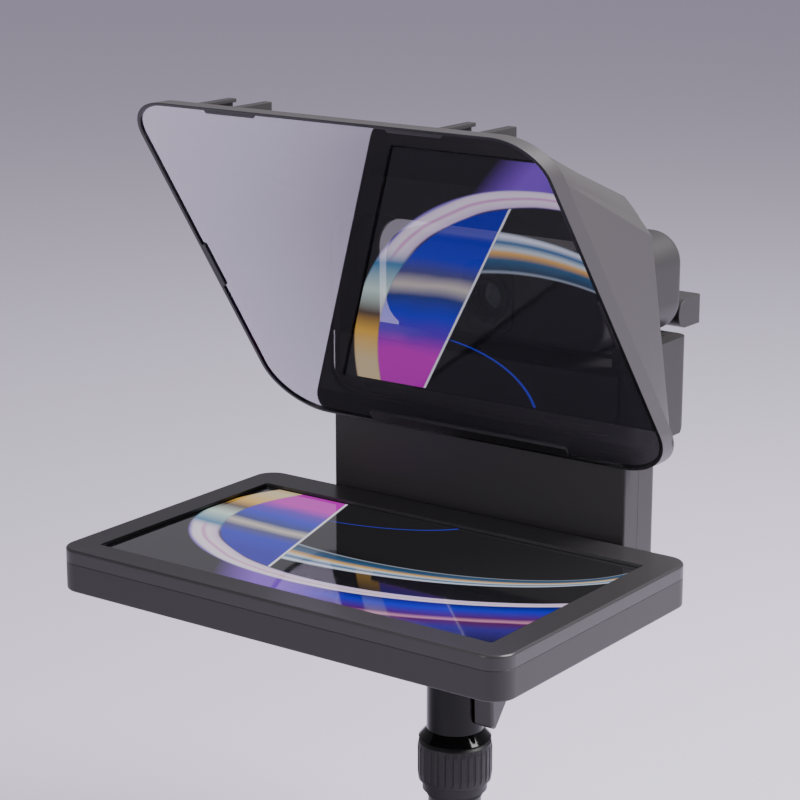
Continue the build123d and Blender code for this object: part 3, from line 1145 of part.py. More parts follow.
# ================================================================ build every node
def tray_screws():
    return [screw_z(x, y, TRAY_BOTTOM_Z, GLASS_TOP_Z - 1.5)
            for x in both_sides([TRAY_SCREW_X]) for y in TRAY_SCREW_YS]


def column_screws():
    return [screw_y(x, z, COLUMN_BACK_Y, COLUMN_FRONT_Y + COLUMN_WALL)
            for x in both_sides([COLUMN_SCREW_X]) for z in COLUMN_SCREW_ZS]


def hood_screws():
    inner_face = COLUMN_FRONT_Y + COLUMN_WALL
    tip = HOOD_BACK_Y - HOOD_SCREW_BITE
    low = [screw_y(x, HOOD_SCREW_Z, inner_face + SCREW_HEAD, tip) for x in HOOD_SCREW_XS]
    back = COLUMN_FRONT_Y + SHROUD_DEPTH
    high = [screw_y(x, shroud_screw_z(), back + FINE_HEAD, tip, FINE_HEAD_R, FINE_HEAD, FINE_SCREW_R)
            for x in both_sides([SHROUD_SCREW_X])]
    return low + high


def camera_screws():
    return [screw_y(x, cam_mid_z(), CAM_BACK_Y, CAM_FRONT_Y + CAM_WALL + 3) for x in CAM_SCREW_XS]


NODES = {
    "tray_lower_shell": [tray_lower_shell()],
    "tray_upper_bezel": [tray_upper_bezel()],
    "display_glass": [display_plate(GLASS_OVERLAP, PANEL_TOP_Z, GLASS_TOP_Z, 2.0)],
    "display_panel": [display_plate(GLASS_OVERLAP - 0.5, PANEL_BOTTOM_Z, PANEL_TOP_Z, 1.0)],
    "display_board": [display_board()],
    "board_posts": board_posts(),
    "usb_port": [usb_port()],
    "tray_screws": tray_screws(),
    "support_bracket": [support_bracket()],
    "mount_nut": [mount_nut()],
    "column_front_shell": [column_front_shell()],
    "column_rear_cover": [column_rear_cover()],
    "column_screws": column_screws(),
    "platform_rails": platform_rails(),
    "hood_shell": [hood_shell()],
    "hood_lining": [hood_lining()],
    "hood_screws": hood_screws(),
    "mirror_glass": [mirror_glass()],
    "glass_gasket": [glass_gasket()],
    "top_glass_clips": top_glass_clips(),
    "side_glass_clips": side_glass_clips(),
    "bottom_glass_bar": [bottom_glass_bar()],
    "accessory_shoes": accessory_shoes(),
    "camera_shroud": [camera_shroud()],
    "camera_platform": [camera_platform()],
    "platform_pad": [platform_pad()],
    "clamp_nut": [clamp_nut()],
    "platform_knob": [platform_knob()],
    "camera_screw": [camera_screw()],
    "camera_front_shell": [camera_front_shell()],
    "camera_rear_shell": [camera_rear_shell()],
    "camera_screws": camera_screws(),
    "tripod_insert": [tripod_insert()],
    "lens_panel": [lens_panel()],
    "lens_ring": [lens_ring()],
    "lens_barrel": [lens_barrel()],
    "lens_front_element": [lens_element(CAM_FRONT_Y + 1.6, 1.6, 1.4)],
    "lens_rear_element": [lens_element(CAM_FRONT_Y + 7.0, 1.4, 1.0)],
    "image_sensor": [image_sensor()],
    "sensor_board": [sensor_board()],
    "camera_main_board": [camera_main_board()],
    "heat_sink": [heat_sink()],
    "clip_arm": [clip_arm()],
    "clip_pin": [clip_pin()],
    "ball_stem": [ball_stem()],
    "ball_cup": [ball_cup()],
    "ball_housing": [ball_housing()],
    "lock_lever": [lock_lever()],
    "pan_base": [pan_base()],
    "inner_tube": [inner_tube()],
    "guide_bush": [guide_bush()],
    "mast_collar": [mast_collar()],
    "collet": [collet()],
    "tube_ring": [tube_ring()],
    "lower_tube": [lower_tube()],
    "base_plug": [base_plug()],
}

for node, solids in NODES.items():
    save(node, *solids)
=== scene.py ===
import math

import bmesh
import bpy
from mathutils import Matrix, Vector


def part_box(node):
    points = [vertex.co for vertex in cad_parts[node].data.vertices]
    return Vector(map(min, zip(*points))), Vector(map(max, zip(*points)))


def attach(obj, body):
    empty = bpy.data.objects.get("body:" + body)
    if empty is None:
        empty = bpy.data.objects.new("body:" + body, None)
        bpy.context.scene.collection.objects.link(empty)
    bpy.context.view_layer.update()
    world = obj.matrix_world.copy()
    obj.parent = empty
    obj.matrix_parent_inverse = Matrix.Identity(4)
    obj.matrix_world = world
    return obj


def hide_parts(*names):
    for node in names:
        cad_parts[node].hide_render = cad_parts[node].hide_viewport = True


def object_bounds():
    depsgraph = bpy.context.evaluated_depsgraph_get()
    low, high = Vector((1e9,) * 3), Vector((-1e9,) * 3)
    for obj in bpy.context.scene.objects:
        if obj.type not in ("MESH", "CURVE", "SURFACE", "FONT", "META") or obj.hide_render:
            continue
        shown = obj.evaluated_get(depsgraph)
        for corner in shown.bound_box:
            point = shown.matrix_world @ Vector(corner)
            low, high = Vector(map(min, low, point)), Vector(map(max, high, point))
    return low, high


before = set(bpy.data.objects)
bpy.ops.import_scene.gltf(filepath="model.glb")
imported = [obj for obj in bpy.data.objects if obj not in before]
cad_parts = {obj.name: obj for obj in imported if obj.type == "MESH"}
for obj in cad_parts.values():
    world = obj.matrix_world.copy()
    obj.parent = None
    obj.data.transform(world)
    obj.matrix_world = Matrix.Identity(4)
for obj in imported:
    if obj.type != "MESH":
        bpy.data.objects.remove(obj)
cad_low, cad_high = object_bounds()


# ---------------------------------------------------------------- camera, floor and soft boxes
# A long lens stands to the reader's right, a little above the hood, and looks down on the whole object.
# The floor is one pale seamless sheet. Three large soft boxes light it from above, from the right and
# from the reader's side.
CAMERA_PLACE = (0.5576, -0.8063, 0.535)
CAMERA_TURN = math.radians(36.09)
CAMERA_DIP = math.radians(14.74)
CAMERA_LENS = 107.04
FLOOR_HALF = 6.0
FLOOR_GAP = 0.0005
FLOOR_COLOUR = (0.78, 0.72, 0.87, 1.0)
FLOOR_CLOUD_TONE = 0.97
ROOM_COLOUR = (0.91, 0.87, 0.98, 1.0)
ROOM_LIGHT = 0.38

camera_data = bpy.data.cameras.new("camera")
camera_data.lens = CAMERA_LENS
camera = bpy.data.objects.new("camera", camera_data)
camera.location = CAMERA_PLACE
camera.rotation_euler = (math.pi / 2 - CAMERA_DIP, 0.0, CAMERA_TURN)
bpy.context.scene.collection.objects.link(camera)
bpy.context.scene.camera = camera

world = bpy.data.worlds.new("room")
world.use_nodes = True
world.node_tree.nodes["Background"].inputs["Color"].default_value = ROOM_COLOUR
world.node_tree.nodes["Background"].inputs["Strength"].default_value = ROOM_LIGHT
bpy.context.scene.world = world


def soft_box(name, place, target, size, watts):
    light = bpy.data.lights.new(name, "AREA")
    light.shape = "DISK"
    light.size = size
    light.energy = watts
    lamp = bpy.data.objects.new(name, light)
    lamp.location = place
    lamp.rotation_euler = (Vector(target) - Vector(place)).to_track_quat("-Z", "Y").to_euler()
    bpy.context.scene.collection.objects.link(lamp)


HOOD_HEART = (0.0, -0.02, 0.32)
soft_box("top_box", (0.75, 0.35, 1.35), HOOD_HEART, 0.9, 50.0)
soft_box("right_box", (1.5, 0.15, 0.65), HOOD_HEART, 0.8, 2.0)
soft_box("reader_box", (-0.35, -1.55, 0.75), HOOD_HEART, 0.7, 7.0)


def add_node(tree, kind, inputs=None, **settings):
    """One shader node with its settings; an input is a plain value or another node's output."""
    node = tree.nodes.new("ShaderNode" + kind)
    for name, value in settings.items():
        setattr(node, name, value)
    for name, value in (inputs or {}).items():
        if isinstance(value, bpy.types.NodeSocket):
            tree.links.new(value, node.inputs[name])
        else:
            node.inputs[name].default_value = value
    return node


def new_finish(name, **plain):
    """A material, its node tree and its Principled shader, with plain values set on the shader."""
    material = bpy.data.materials.new(name)
    material.use_nodes = True
    tree = material.node_tree
    shader = tree.nodes["Principled BSDF"]
    for socket, value in plain.items():
        shader.inputs[socket.replace("_", " ")].default_value = value
    return material, tree, shader


floor_finish, floor_tree, floor_shader = new_finish("floor_sheet", Roughness=0.7)
floor_cloud = add_node(floor_tree, "TexNoise", {"Scale": 3.0, "Detail": 4.0})
floor_tone = add_node(floor_tree, "MixRGB", {
    "Fac": floor_cloud.outputs["Fac"],
    "Color1": FLOOR_COLOUR,
    "Color2": tuple(FLOOR_CLOUD_TONE * c for c in FLOOR_COLOUR),
})
floor_tree.links.new(floor_tone.outputs["Color"], floor_shader.inputs["Base Color"])
floor_mesh = bpy.data.meshes.new("floor")
floor_z = cad_low.z - FLOOR_GAP
floor_corners = [
    (FLOOR_HALF * x, FLOOR_HALF * y, floor_z) for x, y in ((-1, -1), (1, -1), (1, 1), (-1, 1))]
floor_mesh.from_pydata(floor_corners, [], [(0, 1, 2, 3)])
floor_mesh.materials.append(floor_finish)
floor = bpy.data.objects.new("floor", floor_mesh)
bpy.context.scene.collection.objects.link(floor)


# ---------------------------------------------------------------- moulded shells
# The tray, column, hood and platform are injection-moulded in one warm dark-grey plastic.
# The tool's fine spark texture takes the shine off it, handling polishes its edges a little,
# and the mould's flow leaves the tone faintly cloudy. Edges are painted lighter: partly wear, partly a
# painted highlight.
EDGE_FULL = 0.86
EDGE_NONE = 0.995
EDGE_POLISH = 0.18
BEVEL_SAMPLES = 4
CLOUD_SCALE = 21.0
CLOUD_SWING = 0.04
GRAIN_SWING = 0.05
SCUFF_SCALE = 70.0
SCUFF_SWING = 0.05
GAP_TONE = 0.08
GAP_FULL = 0.6
GAP_NONE = 1.2


def new_group(name, inputs, outputs):
    """An empty shader node group: inputs are (name, socket kind, default), outputs are (name, kind)."""
    group = bpy.data.node_groups.new(name, "ShaderNodeTree")
    for label, kind, default in inputs:
        socket = group.interface.new_socket(label, in_out="INPUT", socket_type="NodeSocket" + kind)
        socket.default_value = default
    for label, kind in outputs:
        group.interface.new_socket(label, in_out="OUTPUT", socket_type="NodeSocket" + kind)
    return group, group.nodes.new("NodeGroupInput"), group.nodes.new("NodeGroupOutput")


def maths(tree, operation, first, second=0.0, clamp=False):
    """One sum on two values; a value is a number or another node's output."""
    node = tree.nodes.new("ShaderNodeMath")
    node.operation = operation
    node.use_clamp = clamp
    for socket, value in zip(node.inputs, (first, second)):
        if isinstance(value, bpy.types.NodeSocket):
            tree.links.new(value, socket)
        else:
            socket.default_value = value
    return node.outputs["Value"]


def spread(tree, value, low, high, from_low=0.0, from_high=1.0):
    """A value's range stretched onto another range."""
    return add_node(tree, "MapRange", {
        "Value": value, "From Min": from_low, "From Max": from_high, "To Min": low, "To Max": high,
    }).outputs["Result"]


def swing(tree, pattern, share):
    """A pattern from 0 to 1 turned into a factor that swings by a share to either side of 1."""
    return spread(tree, pattern, 1.0 - share, 1.0 + share)


def edge_mask(tree, rounded_normal):
    """Bright where the rounded normal leaves the face's own, so only along edges."""
    face_normal = add_node(tree, "NewGeometry").outputs["Normal"]
    facing = add_node(tree, "VectorMath", {0: rounded_normal, 1: face_normal}, operation="DOT_PRODUCT")
    return spread(tree, facing.outputs["Value"], 1.0, 0.0, EDGE_FULL, EDGE_NONE)


moulded_group, moulded_in, moulded_out = new_group(
    "moulded_skin",
    [("Colour", "Color", (0.08, 0.075, 0.078, 1.0)), ("Grain Scale", "Float", 2600.0),
     ("Grain Depth", "Float", 0.00004), ("Roughness", "Float", 0.42), ("Edge Radius", "Float", 0.0005),
     ("Edge Tone", "Float", 0.35)],
    [("Colour", "Color"), ("Roughness", "Float"), ("Normal", "Vector")],
)
place = add_node(moulded_group, "TexCoord").outputs["Object"]
grain = add_node(moulded_group, "TexNoise", {
    "Vector": place, "Scale": moulded_in.outputs["Grain Scale"], "Detail": 2.0, "Roughness": 0.6,
}).outputs["Fac"]
cloud = add_node(moulded_group, "TexNoise", {
    "Vector": place, "Scale": CLOUD_SCALE, "Detail": 5.0}).outputs["Fac"]
scuff = add_node(moulded_group, "TexNoise", {
    "Vector": place, "Scale": SCUFF_SCALE, "Detail": 4.0, "Distortion": 1.0,
}).outputs["Fac"]
rounded = add_node(
    moulded_group, "Bevel", {"Radius": moulded_in.outputs["Edge Radius"]}, samples=BEVEL_SAMPLES)
edges = edge_mask(moulded_group, rounded.outputs["Normal"])
# Lighter along edges: partly handling wear, partly a painted highlight.
worn_and_highlit = maths(moulded_group, "MULTIPLY", edges, moulded_in.outputs["Edge Tone"])
tone = maths(moulded_group, "MULTIPLY", swing(moulded_group, cloud, CLOUD_SWING),
             maths(moulded_group, "ADD", worn_and_highlit, swing(moulded_group, grain, GRAIN_SWING)))
moulded_group.links.new(
    add_node(moulded_group, "VectorMath", {0: moulded_in.outputs["Colour"], "Scale": tone},
             operation="SCALE").outputs["Vector"],
    moulded_out.inputs["Colour"])
moulded_group.links.new(
    maths(moulded_group, "MULTIPLY", moulded_in.outputs["Roughness"],
          maths(moulded_group, "SUBTRACT", swing(moulded_group, scuff, SCUFF_SWING),
                maths(moulded_group, "MULTIPLY", edges, EDGE_POLISH))),
    moulded_out.inputs["Roughness"])
bump = add_node(moulded_group, "Bump", {
    "Height": grain, "Distance": moulded_in.outputs["Grain Depth"], "Normal": rounded.outputs["Normal"],
})
moulded_group.links.new(bump.outputs["Normal"], moulded_out.inputs["Normal"])


def place_group(tree, shader, group, outputs, **values):
    """A group in a material: its plain inputs, and the shader sockets that its outputs feed."""
    node = tree.nodes.new("ShaderNodeGroup")
    node.node_tree = group
    for name, value in values.items():
        node.inputs[name.replace("_", " ")].default_value = value
    for output, socket in outputs.items():
        tree.links.new(node.outputs[output], shader.inputs[socket])
    return node


SKIN_SOCKETS = {"Colour": "Base Color", "Roughness": "Roughness", "Normal": "Normal"}


def moulded(name, colour, roughness, **values):
    """A moulded finish; values are the group's other inputs, and shine is how much the plastic reflects."""
    material, tree, shader = new_finish(name, Specular_IOR_Level=values.pop("shine", 0.5))
    place_group(tree, shader, moulded_group, SKIN_SOCKETS,
                Colour=(*colour, 1.0), Roughness=roughness, **values)
    return material


def dress(material, *nodes):
    """Gives CAD nodes a finish."""
    for node in nodes:
        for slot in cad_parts[node].material_slots:
            slot.material = material


parting_group, parting_in, parting_out = new_group(
    "parting_line",
    [("Colour", "Color", (0.5, 0.5, 0.5, 1.0)), ("Coordinate", "Float", 0.0), ("Level", "Float", 0.0),
     ("Half Width", "Float", 0.00022)],
    [("Colour", "Color")],
)
off_line = maths(parting_group, "ABSOLUTE", maths(
    parting_group, "SUBTRACT", parting_in.outputs["Coordinate"], parting_in.outputs["Level"]))
line_share = maths(parting_group, "DIVIDE", off_line, parting_in.outputs["Half Width"])
light_left = spread(parting_group, line_share, GAP_TONE, 1.0, GAP_FULL, GAP_NONE)
parting_group.links.new(
    add_node(parting_group, "VectorMath", {0: parting_in.outputs["Colour"], "Scale": light_left},
             operation="SCALE").outputs["Vector"],
    parting_out.inputs["Colour"])


def moulded_half(name, colour, roughness, axis, level, **values):
    """A moulded finish with a shadow line where two halves of a case meet, at a level along an axis."""
    material, tree, shader = new_finish(name, Specular_IOR_Level=values.pop("shine", 0.4))
    skin = place_group(tree, shader, moulded_group, {"Roughness": "Roughness", "Normal": "Normal"},
                       Colour=(*colour, 1.0), Roughness=roughness, **values)
    line = place_group(tree, shader, parting_group, {"Colour": "Base Color"}, Level=level)
    split = add_node(tree, "SeparateXYZ", {"Vector": add_node(tree, "TexCoord").outputs["Object"]})
    tree.links.new(split.outputs[axis], line.inputs["Coordinate"])
    tree.links.new(skin.outputs["Colour"], line.inputs["Colour"])
    return material


SHELL_COLOUR = (0.029, 0.0262, 0.0275)
BEZEL_COLOUR = (0.028, 0.026, 0.0275)
tray_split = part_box("tray_upper_bezel")[0].z
column_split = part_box("column_front_shell")[1].y
dress(moulded_half("tray_plastic", SHELL_COLOUR, 0.42, "Z", tray_split), "tray_lower_shell")
dress(moulded_half("bezel_plastic", BEZEL_COLOUR, 0.30, "Z", tray_split, Grain_Depth=0.00002, shine=0.5),
      "tray_upper_bezel")
dress(moulded_half("column_plastic", SHELL_COLOUR, 0.42, "Y", column_split),
      "column_front_shell", "column_rear_cover")
dress(moulded("shell_plastic", SHELL_COLOUR, 0.42, shine=0.4), "accessory_shoes", "camera_platform")


# ---------------------------------------------------------------- hexagon-socket screws
# Blackened steel cap screws close the tray from below, the column from behind and the webcam from behind.
# Each has a turned head with a chamfer, a hexagonal recess and a rolled thread, and is driven flush.
SCREW_HEAD_R = 0.0028
SCREW_HEAD = 0.0018
SCREW_CHAMFER = 0.0004
SCREW_SHANK_R = 0.0015
SCREW_ROOT_R = 0.0013
SCREW_PITCH = 0.0005
SOCKET_HALF = 0.00095
SOCKET_DEPTH = 0.0011
SOCKET_MOUTH_R = 0.0012
SCREW_SEGMENTS = 48
LINE_STRETCH = (0.02, 0.02, 1.0)
LINE_SWING = 0.15
SPECK_SCALE = 60.0
SPECK_TONE_SWING = 0.1
SPECK_SHEEN_SWING = 0.15
RUBBED_AND_HIGHLIT_EDGE = 0.5

turned_group, turned_in, turned_out = new_group(
    "turned_metal",
    [("Colour", "Color", (0.05, 0.05, 0.05, 1.0)), ("Lines", "Float", 900.0), ("Depth", "Float", 0.00001),
     ("Roughness", "Float", 0.35), ("Edge Radius", "Float", 0.0003)],
    [("Colour", "Color"), ("Roughness", "Float"), ("Normal", "Vector")],
)
place = add_node(turned_group, "TexCoord").outputs["Object"]
rings = add_node(turned_group, "VectorMath", {0: place, 1: LINE_STRETCH}, operation="MULTIPLY")
lines = add_node(turned_group, "TexNoise", {
    "Vector": rings.outputs["Vector"], "Scale": turned_in.outputs["Lines"], "Detail": 3.0}).outputs["Fac"]
speck = add_node(turned_group, "TexNoise", {
    "Vector": place, "Scale": SPECK_SCALE, "Detail": 5.0}).outputs["Fac"]
rounded = add_node(
    turned_group, "Bevel", {"Radius": turned_in.outputs["Edge Radius"]}, samples=BEVEL_SAMPLES)
edges = edge_mask(turned_group, rounded.outputs["Normal"])
# Lighter along edges: partly rubbed wear, partly a painted highlight.
tone = maths(turned_group, "MULTIPLY", swing(turned_group, lines, LINE_SWING),
             maths(turned_group, "ADD", maths(turned_group, "MULTIPLY", edges, RUBBED_AND_HIGHLIT_EDGE),
                   swing(turned_group, speck, SPECK_TONE_SWING)))
turned_group.links.new(
    add_node(turned_group, "VectorMath", {0: turned_in.outputs["Colour"], "Scale": tone},
             operation="SCALE").outputs["Vector"],
    turned_out.inputs["Colour"])
turned_group.links.new(
    maths(turned_group, "MULTIPLY", turned_in.outputs["Roughness"],
          swing(turned_group, speck, SPECK_SHEEN_SWING)),
    turned_out.inputs["Roughness"])
bump = add_node(turned_group, "Bump", {
    "Height": lines, "Distance": turned_in.outputs["Depth"], "Normal": rounded.outputs["Normal"]})
turned_group.links.new(bump.outputs["Normal"], turned_out.inputs["Normal"])


def turned_metal(name, colour, roughness):
    """A turned metal finish."""
    material, tree, shader = new_finish(name, Metallic=1.0)
    place_group(tree, shader, turned_group, SKIN_SOCKETS, Colour=(*colour, 1.0), Roughness=roughness)
    return material


def lathe(mesh, sections, heads, facing, hollow=False):
    """Turned solids in one mesh; a section is (depth, radius, hexagonal), a head is the outer face's middle.

    A hollow one has a bore: its last section meets its first again, and it gets no end faces.
    """
    turn = Vector(facing).to_track_quat("Z", "Y").to_matrix()
    for head in heads:
        rings = []
        for depth, radius, hexagonal in sections:
            ring = []
            for i in range(SCREW_SEGMENTS):
                angle = 2 * math.pi * i / SCREW_SEGMENTS
                reach = radius
                if hexagonal:
                    reach = radius / math.cos(angle % (math.pi / 3) - math.pi / 6)
                point = Vector((reach * math.cos(angle), reach * math.sin(angle), -depth))
                ring.append(mesh.verts.new(Vector(head) + turn @ point))
            rings.append(ring)
        if hollow:
            rings.append(rings[0])
        else:
            mesh.faces.new(rings[0])
            mesh.faces.new(rings[-1])
        for near, far in zip(rings, rings[1:]):
            for i in range(SCREW_SEGMENTS):
                after = (i + 1) % SCREW_SEGMENTS
                mesh.faces.new((near[i], near[after], far[after], far[i]))


def built_piece(name, mesh, material, body, slot_name, *nodes):
    """Turns a mesh into a shown piece that stands for CAD nodes and moves with their body."""
    bmesh.ops.recalc_face_normals(mesh, faces=mesh.faces)
    data = bpy.data.meshes.new(name)
    mesh.to_mesh(data)
    mesh.free()
    data.materials.append(material)
    piece = bpy.data.objects.new(name, data)
    bpy.context.scene.collection.objects.link(piece)
    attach(piece, body)
    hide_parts(*nodes)


def screw_sections(length):
    """A cap screw from the bottom of its recess, over its head and down its thread to its point."""
    sections = [
        (SOCKET_DEPTH, SOCKET_HALF, True),
        (SCREW_CHAMFER / 2, SOCKET_HALF, True),
        (0.0, SOCKET_MOUTH_R, False),
        (0.0, SCREW_HEAD_R - SCREW_CHAMFER, False),
        (SCREW_CHAMFER, SCREW_HEAD_R, False),
        (SCREW_HEAD, SCREW_HEAD_R, False),
        (SCREW_HEAD, SCREW_SHANK_R, False),
    ]
    depth = SCREW_HEAD + SCREW_PITCH
    while depth < length - SCREW_PITCH:
        sections.append((depth - SCREW_PITCH / 2, SCREW_ROOT_R, False))
        sections.append((depth, SCREW_SHANK_R, False))
        depth += SCREW_PITCH
    sections.append((length, SCREW_ROOT_R - SCREW_CHAMFER, False))
    return sections


black_screw = turned_metal("black_screw", (0.05, 0.05, 0.052), 0.35)
TRAY_SCREW_MIDDLE_Y = -0.060
low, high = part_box("tray_screws")
tray_heads = [(x, y, low.z) for x in (low.x + SCREW_HEAD_R, high.x - SCREW_HEAD_R)
              for y in (low.y + SCREW_HEAD_R, TRAY_SCREW_MIDDLE_Y, high.y - SCREW_HEAD_R)]
mesh = bmesh.new()
lathe(mesh, screw_sections(high.z - low.z), tray_heads, (0, 0, -1))
built_piece("tray_socket_screws", mesh, black_screw, "prompter", "black_steel", "tray_screws")

for node, body in (("column_screws", "prompter"), ("camera_screws", "camera")):
    low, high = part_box(node)
    xs = (low.x + SCREW_HEAD_R, high.x - SCREW_HEAD_R)
    zs = {round(z, 6) for z in (low.z + SCREW_HEAD_R, high.z - SCREW_HEAD_R)}
    mesh = bmesh.new()
    lathe(mesh, screw_sections(high.y - low.y), [(x, high.y, z) for x in xs for z in sorted(zs)], (0, 1, 0))
    built_piece(node.replace("screws", "socket_screws"), mesh, black_screw, body, "black_steel", node)
dress(black_screw, "hood_screws")


# ---------------------------------------------------------------- hood
# One moulding of the same plastic, but its grey is painted lighter than the other shells', as painted light.
# Its narrow rim, the mirror's seat and everything inside are sprayed satin black, so that no stray light
# reaches the webcam.
HOOD_MIDDLE = (0.0, -0.03, 0.33)
RIM_FACING = (0.0, -0.82046, -0.57171)
INSIDE_MARGIN = 0.003
RIM_AGREES = 0.8
# The shell grey painted lighter for the hood: painted light on its faces.
HOOD_LIGHTENED_COLOUR = (0.052, 0.047, 0.050, 1.0)
SPRAY_COLOUR = (0.005, 0.005, 0.005, 1.0)
SPRAY_SHINE = 0.16

hood_finish, hood_tree, hood_shader = new_finish("hood_plastic")
hood_skin = place_group(hood_tree, hood_shader, moulded_group, {"Normal": "Normal"},
                        Colour=HOOD_LIGHTENED_COLOUR, Roughness=0.42)
hood_place = add_node(hood_tree, "TexCoord")
inwards = add_node(hood_tree, "VectorMath", {
    0: HOOD_MIDDLE, 1: hood_place.outputs["Object"]}, operation="SUBTRACT")
looks_in = add_node(hood_tree, "VectorMath", {
    0: inwards.outputs["Vector"], 1: hood_place.outputs["Normal"]}, operation="DOT_PRODUCT").outputs["Value"]
on_rim = add_node(hood_tree, "VectorMath", {
    0: hood_place.outputs["Normal"], 1: RIM_FACING}, operation="DOT_PRODUCT").outputs["Value"]
sprayed = maths(hood_tree, "MAXIMUM", maths(hood_tree, "GREATER_THAN", looks_in, INSIDE_MARGIN),
                maths(hood_tree, "GREATER_THAN", on_rim, RIM_AGREES))
spray_tone = add_node(hood_tree, "MixRGB", {
    "Fac": sprayed, "Color1": hood_skin.outputs["Colour"], "Color2": SPRAY_COLOUR})
hood_tree.links.new(spray_tone.outputs["Color"], hood_shader.inputs["Base Color"])
hood_tree.links.new(
    maths(hood_tree, "SUBTRACT", hood_skin.outputs["Roughness"],
          maths(hood_tree, "MULTIPLY", sprayed, SPRAY_SHINE)),
    hood_shader.inputs["Roughness"])
dress(hood_finish, "hood_shell")


# ---------------------------------------------------------------- display
# A nine-inch panel lies under a bonded cover glass that is black outside the picture.
# The picture is a standing test image: curved ribbons of light on black.
glass_low, glass_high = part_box("display_glass")
PICTURE_MARGIN = 0.0025
picture_left = glass_low.x + PICTURE_MARGIN
picture_front = glass_low.y + PICTURE_MARGIN
picture_width = glass_high.x - glass_low.x - 2 * PICTURE_MARGIN
picture_depth = glass_high.y - glass_low.y - 2 * PICTURE_MARGIN

picture_group, _, picture_out = new_group("ribbon_picture", [], [("Light", "Color")])
place = add_node(picture_group, "TexCoord").outputs["Object"]
axes = add_node(picture_group, "SeparateXYZ", {"Vector": place})
across = spread(picture_group, axes.outputs["X"], 0.0, 1.0, picture_left, picture_left + picture_width)
along = spread(picture_group, axes.outputs["Y"], 0.0, 1.0, picture_front, picture_front + picture_depth)


def oval(centre, half_width, half_height, lean=0.0):
    """How far a point lies from an oval's centre, as a share of its size; lean shears the oval."""
    x = maths(picture_group, "DIVIDE", maths(picture_group, "SUBTRACT", across, centre[0]), half_width)
    level = maths(picture_group, "SUBTRACT", along, maths(picture_group, "MULTIPLY", across, lean))
    y = maths(picture_group, "DIVIDE", maths(picture_group, "SUBTRACT", level, centre[1]), half_height)
    return maths(picture_group, "SQRT", maths(
        picture_group, "ADD",
        maths(picture_group, "MULTIPLY", x, x), maths(picture_group, "MULTIPLY", y, y)))


def between(value, low, high, soft):
    """A mask that is 1 between two values, with soft shoulders."""
    rise = add_node(picture_group, "MapRange", {
        "Value": value, "From Min": low - soft, "From Max": low + soft}, interpolation_type="SMOOTHSTEP")
    fall = add_node(picture_group, "MapRange", {
        "Value": value, "From Min": high - soft, "From Max": high + soft, "To Min": 1.0, "To Max": 0.0,
    }, interpolation_type="SMOOTHSTEP")
    return maths(picture_group, "MULTIPLY", rise.outputs["Result"], fall.outputs["Result"])


def colour_ramp(value, stops):
    """A value turned into a colour; a stop is (value, colour)."""
    ramp = add_node(picture_group, "ValToRGB", {"Fac": value})
    elements = ramp.color_ramp.elements
    while len(elements) < len(stops):
        elements.new(0.5)
    for element, (position, colour) in zip(elements, stops):
        element.position = position
        element.color = (*colour, 1.0)
    return ramp.outputs["Color"]


def lay_over(below, above, mask):
    return add_node(picture_group, "MixRGB", {
        "Fac": mask, "Color1": below, "Color2": above}).outputs["Color"]


UNLIT = (0.0, 0.0, 0.0, 1.0)
BACKDROP = (0.004, 0.004, 0.005, 1.0)
VIOLET = (0.22, 0.07, 0.62, 1.0)
CUT_LIGHT = (0.90, 0.90, 1.0, 1.0)
ARC_BLUE = (0.02, 0.03, 0.55, 1.0)
RIPPLE_HEIGHT = 0.06
RIBBON_SOFT = 0.05
CUT_FOOT = 0.40
CUT_LEAN = 0.1675
FRAME_X = 0.004
FRAME_Y = 0.008
FAR = 9.0
wave = add_node(picture_group, "TexNoise", {
    "Vector": place, "Scale": 16.0, "Detail": 1.5, "Distortion": 1.2}).outputs["Fac"]
ripple = maths(picture_group, "MULTIPLY", maths(picture_group, "SUBTRACT", wave, 0.5), RIPPLE_HEIGHT)
big_oval = oval(centre=(0.60, 0.70), half_width=0.60, half_height=0.76, lean=0.35)
big_width = spread(picture_group, across, 0.12, 0.050, 0.05, 0.95)
big_band = maths(picture_group, "DIVIDE", maths(picture_group, "SUBTRACT", 1.0, big_oval), big_width)
small_oval = oval(centre=(0.40, 1.05), half_width=0.62, half_height=0.66)
small_width = spread(picture_group, across, 0.15, 0.035, 0.3, 0.95)
small_band = maths(picture_group, "DIVIDE", maths(picture_group, "SUBTRACT", small_oval, 1.0), small_width)
cut_line = maths(picture_group, "SUBTRACT", CUT_FOOT, maths(picture_group, "MULTIPLY", along, CUT_LEAN))
left_of_cut = maths(picture_group, "SUBTRACT", cut_line, across)

glow_reach = spread(picture_group, maths(picture_group, "ADD", big_oval, ripple), 0.0, 1.0, 1.0, 1.5)
under_glow = colour_ramp(glow_reach, [
    (0.00, (0.00, 0.00, 0.16)), (0.14, (0.00, 0.01, 0.60)), (0.34, (0.09, 0.00, 0.16)),
    (0.42, (0.62, 0.26, 0.42)), (0.46, (0.10, 0.00, 0.10)), (0.62, (0.03, 0.01, 0.26)),
    (1.00, (0.00, 0.00, 0.03)),
])
violet_start = lay_over(under_glow, VIOLET, between(across, 0.2, 0.52, 0.10))
picture = lay_over(BACKDROP, violet_start, maths(
    picture_group, "MULTIPLY", between(big_oval, 0.98, 1.5, 0.02),
    spread(picture_group, maths(picture_group, "SUBTRACT", across, maths(
        picture_group, "MULTIPLY", big_oval, 0.35)), 0.0, 1.0, -0.10, 0.02)))
inner_level = maths(picture_group, "ADD", along, maths(picture_group, "MULTIPLY", ripple, 2.0))
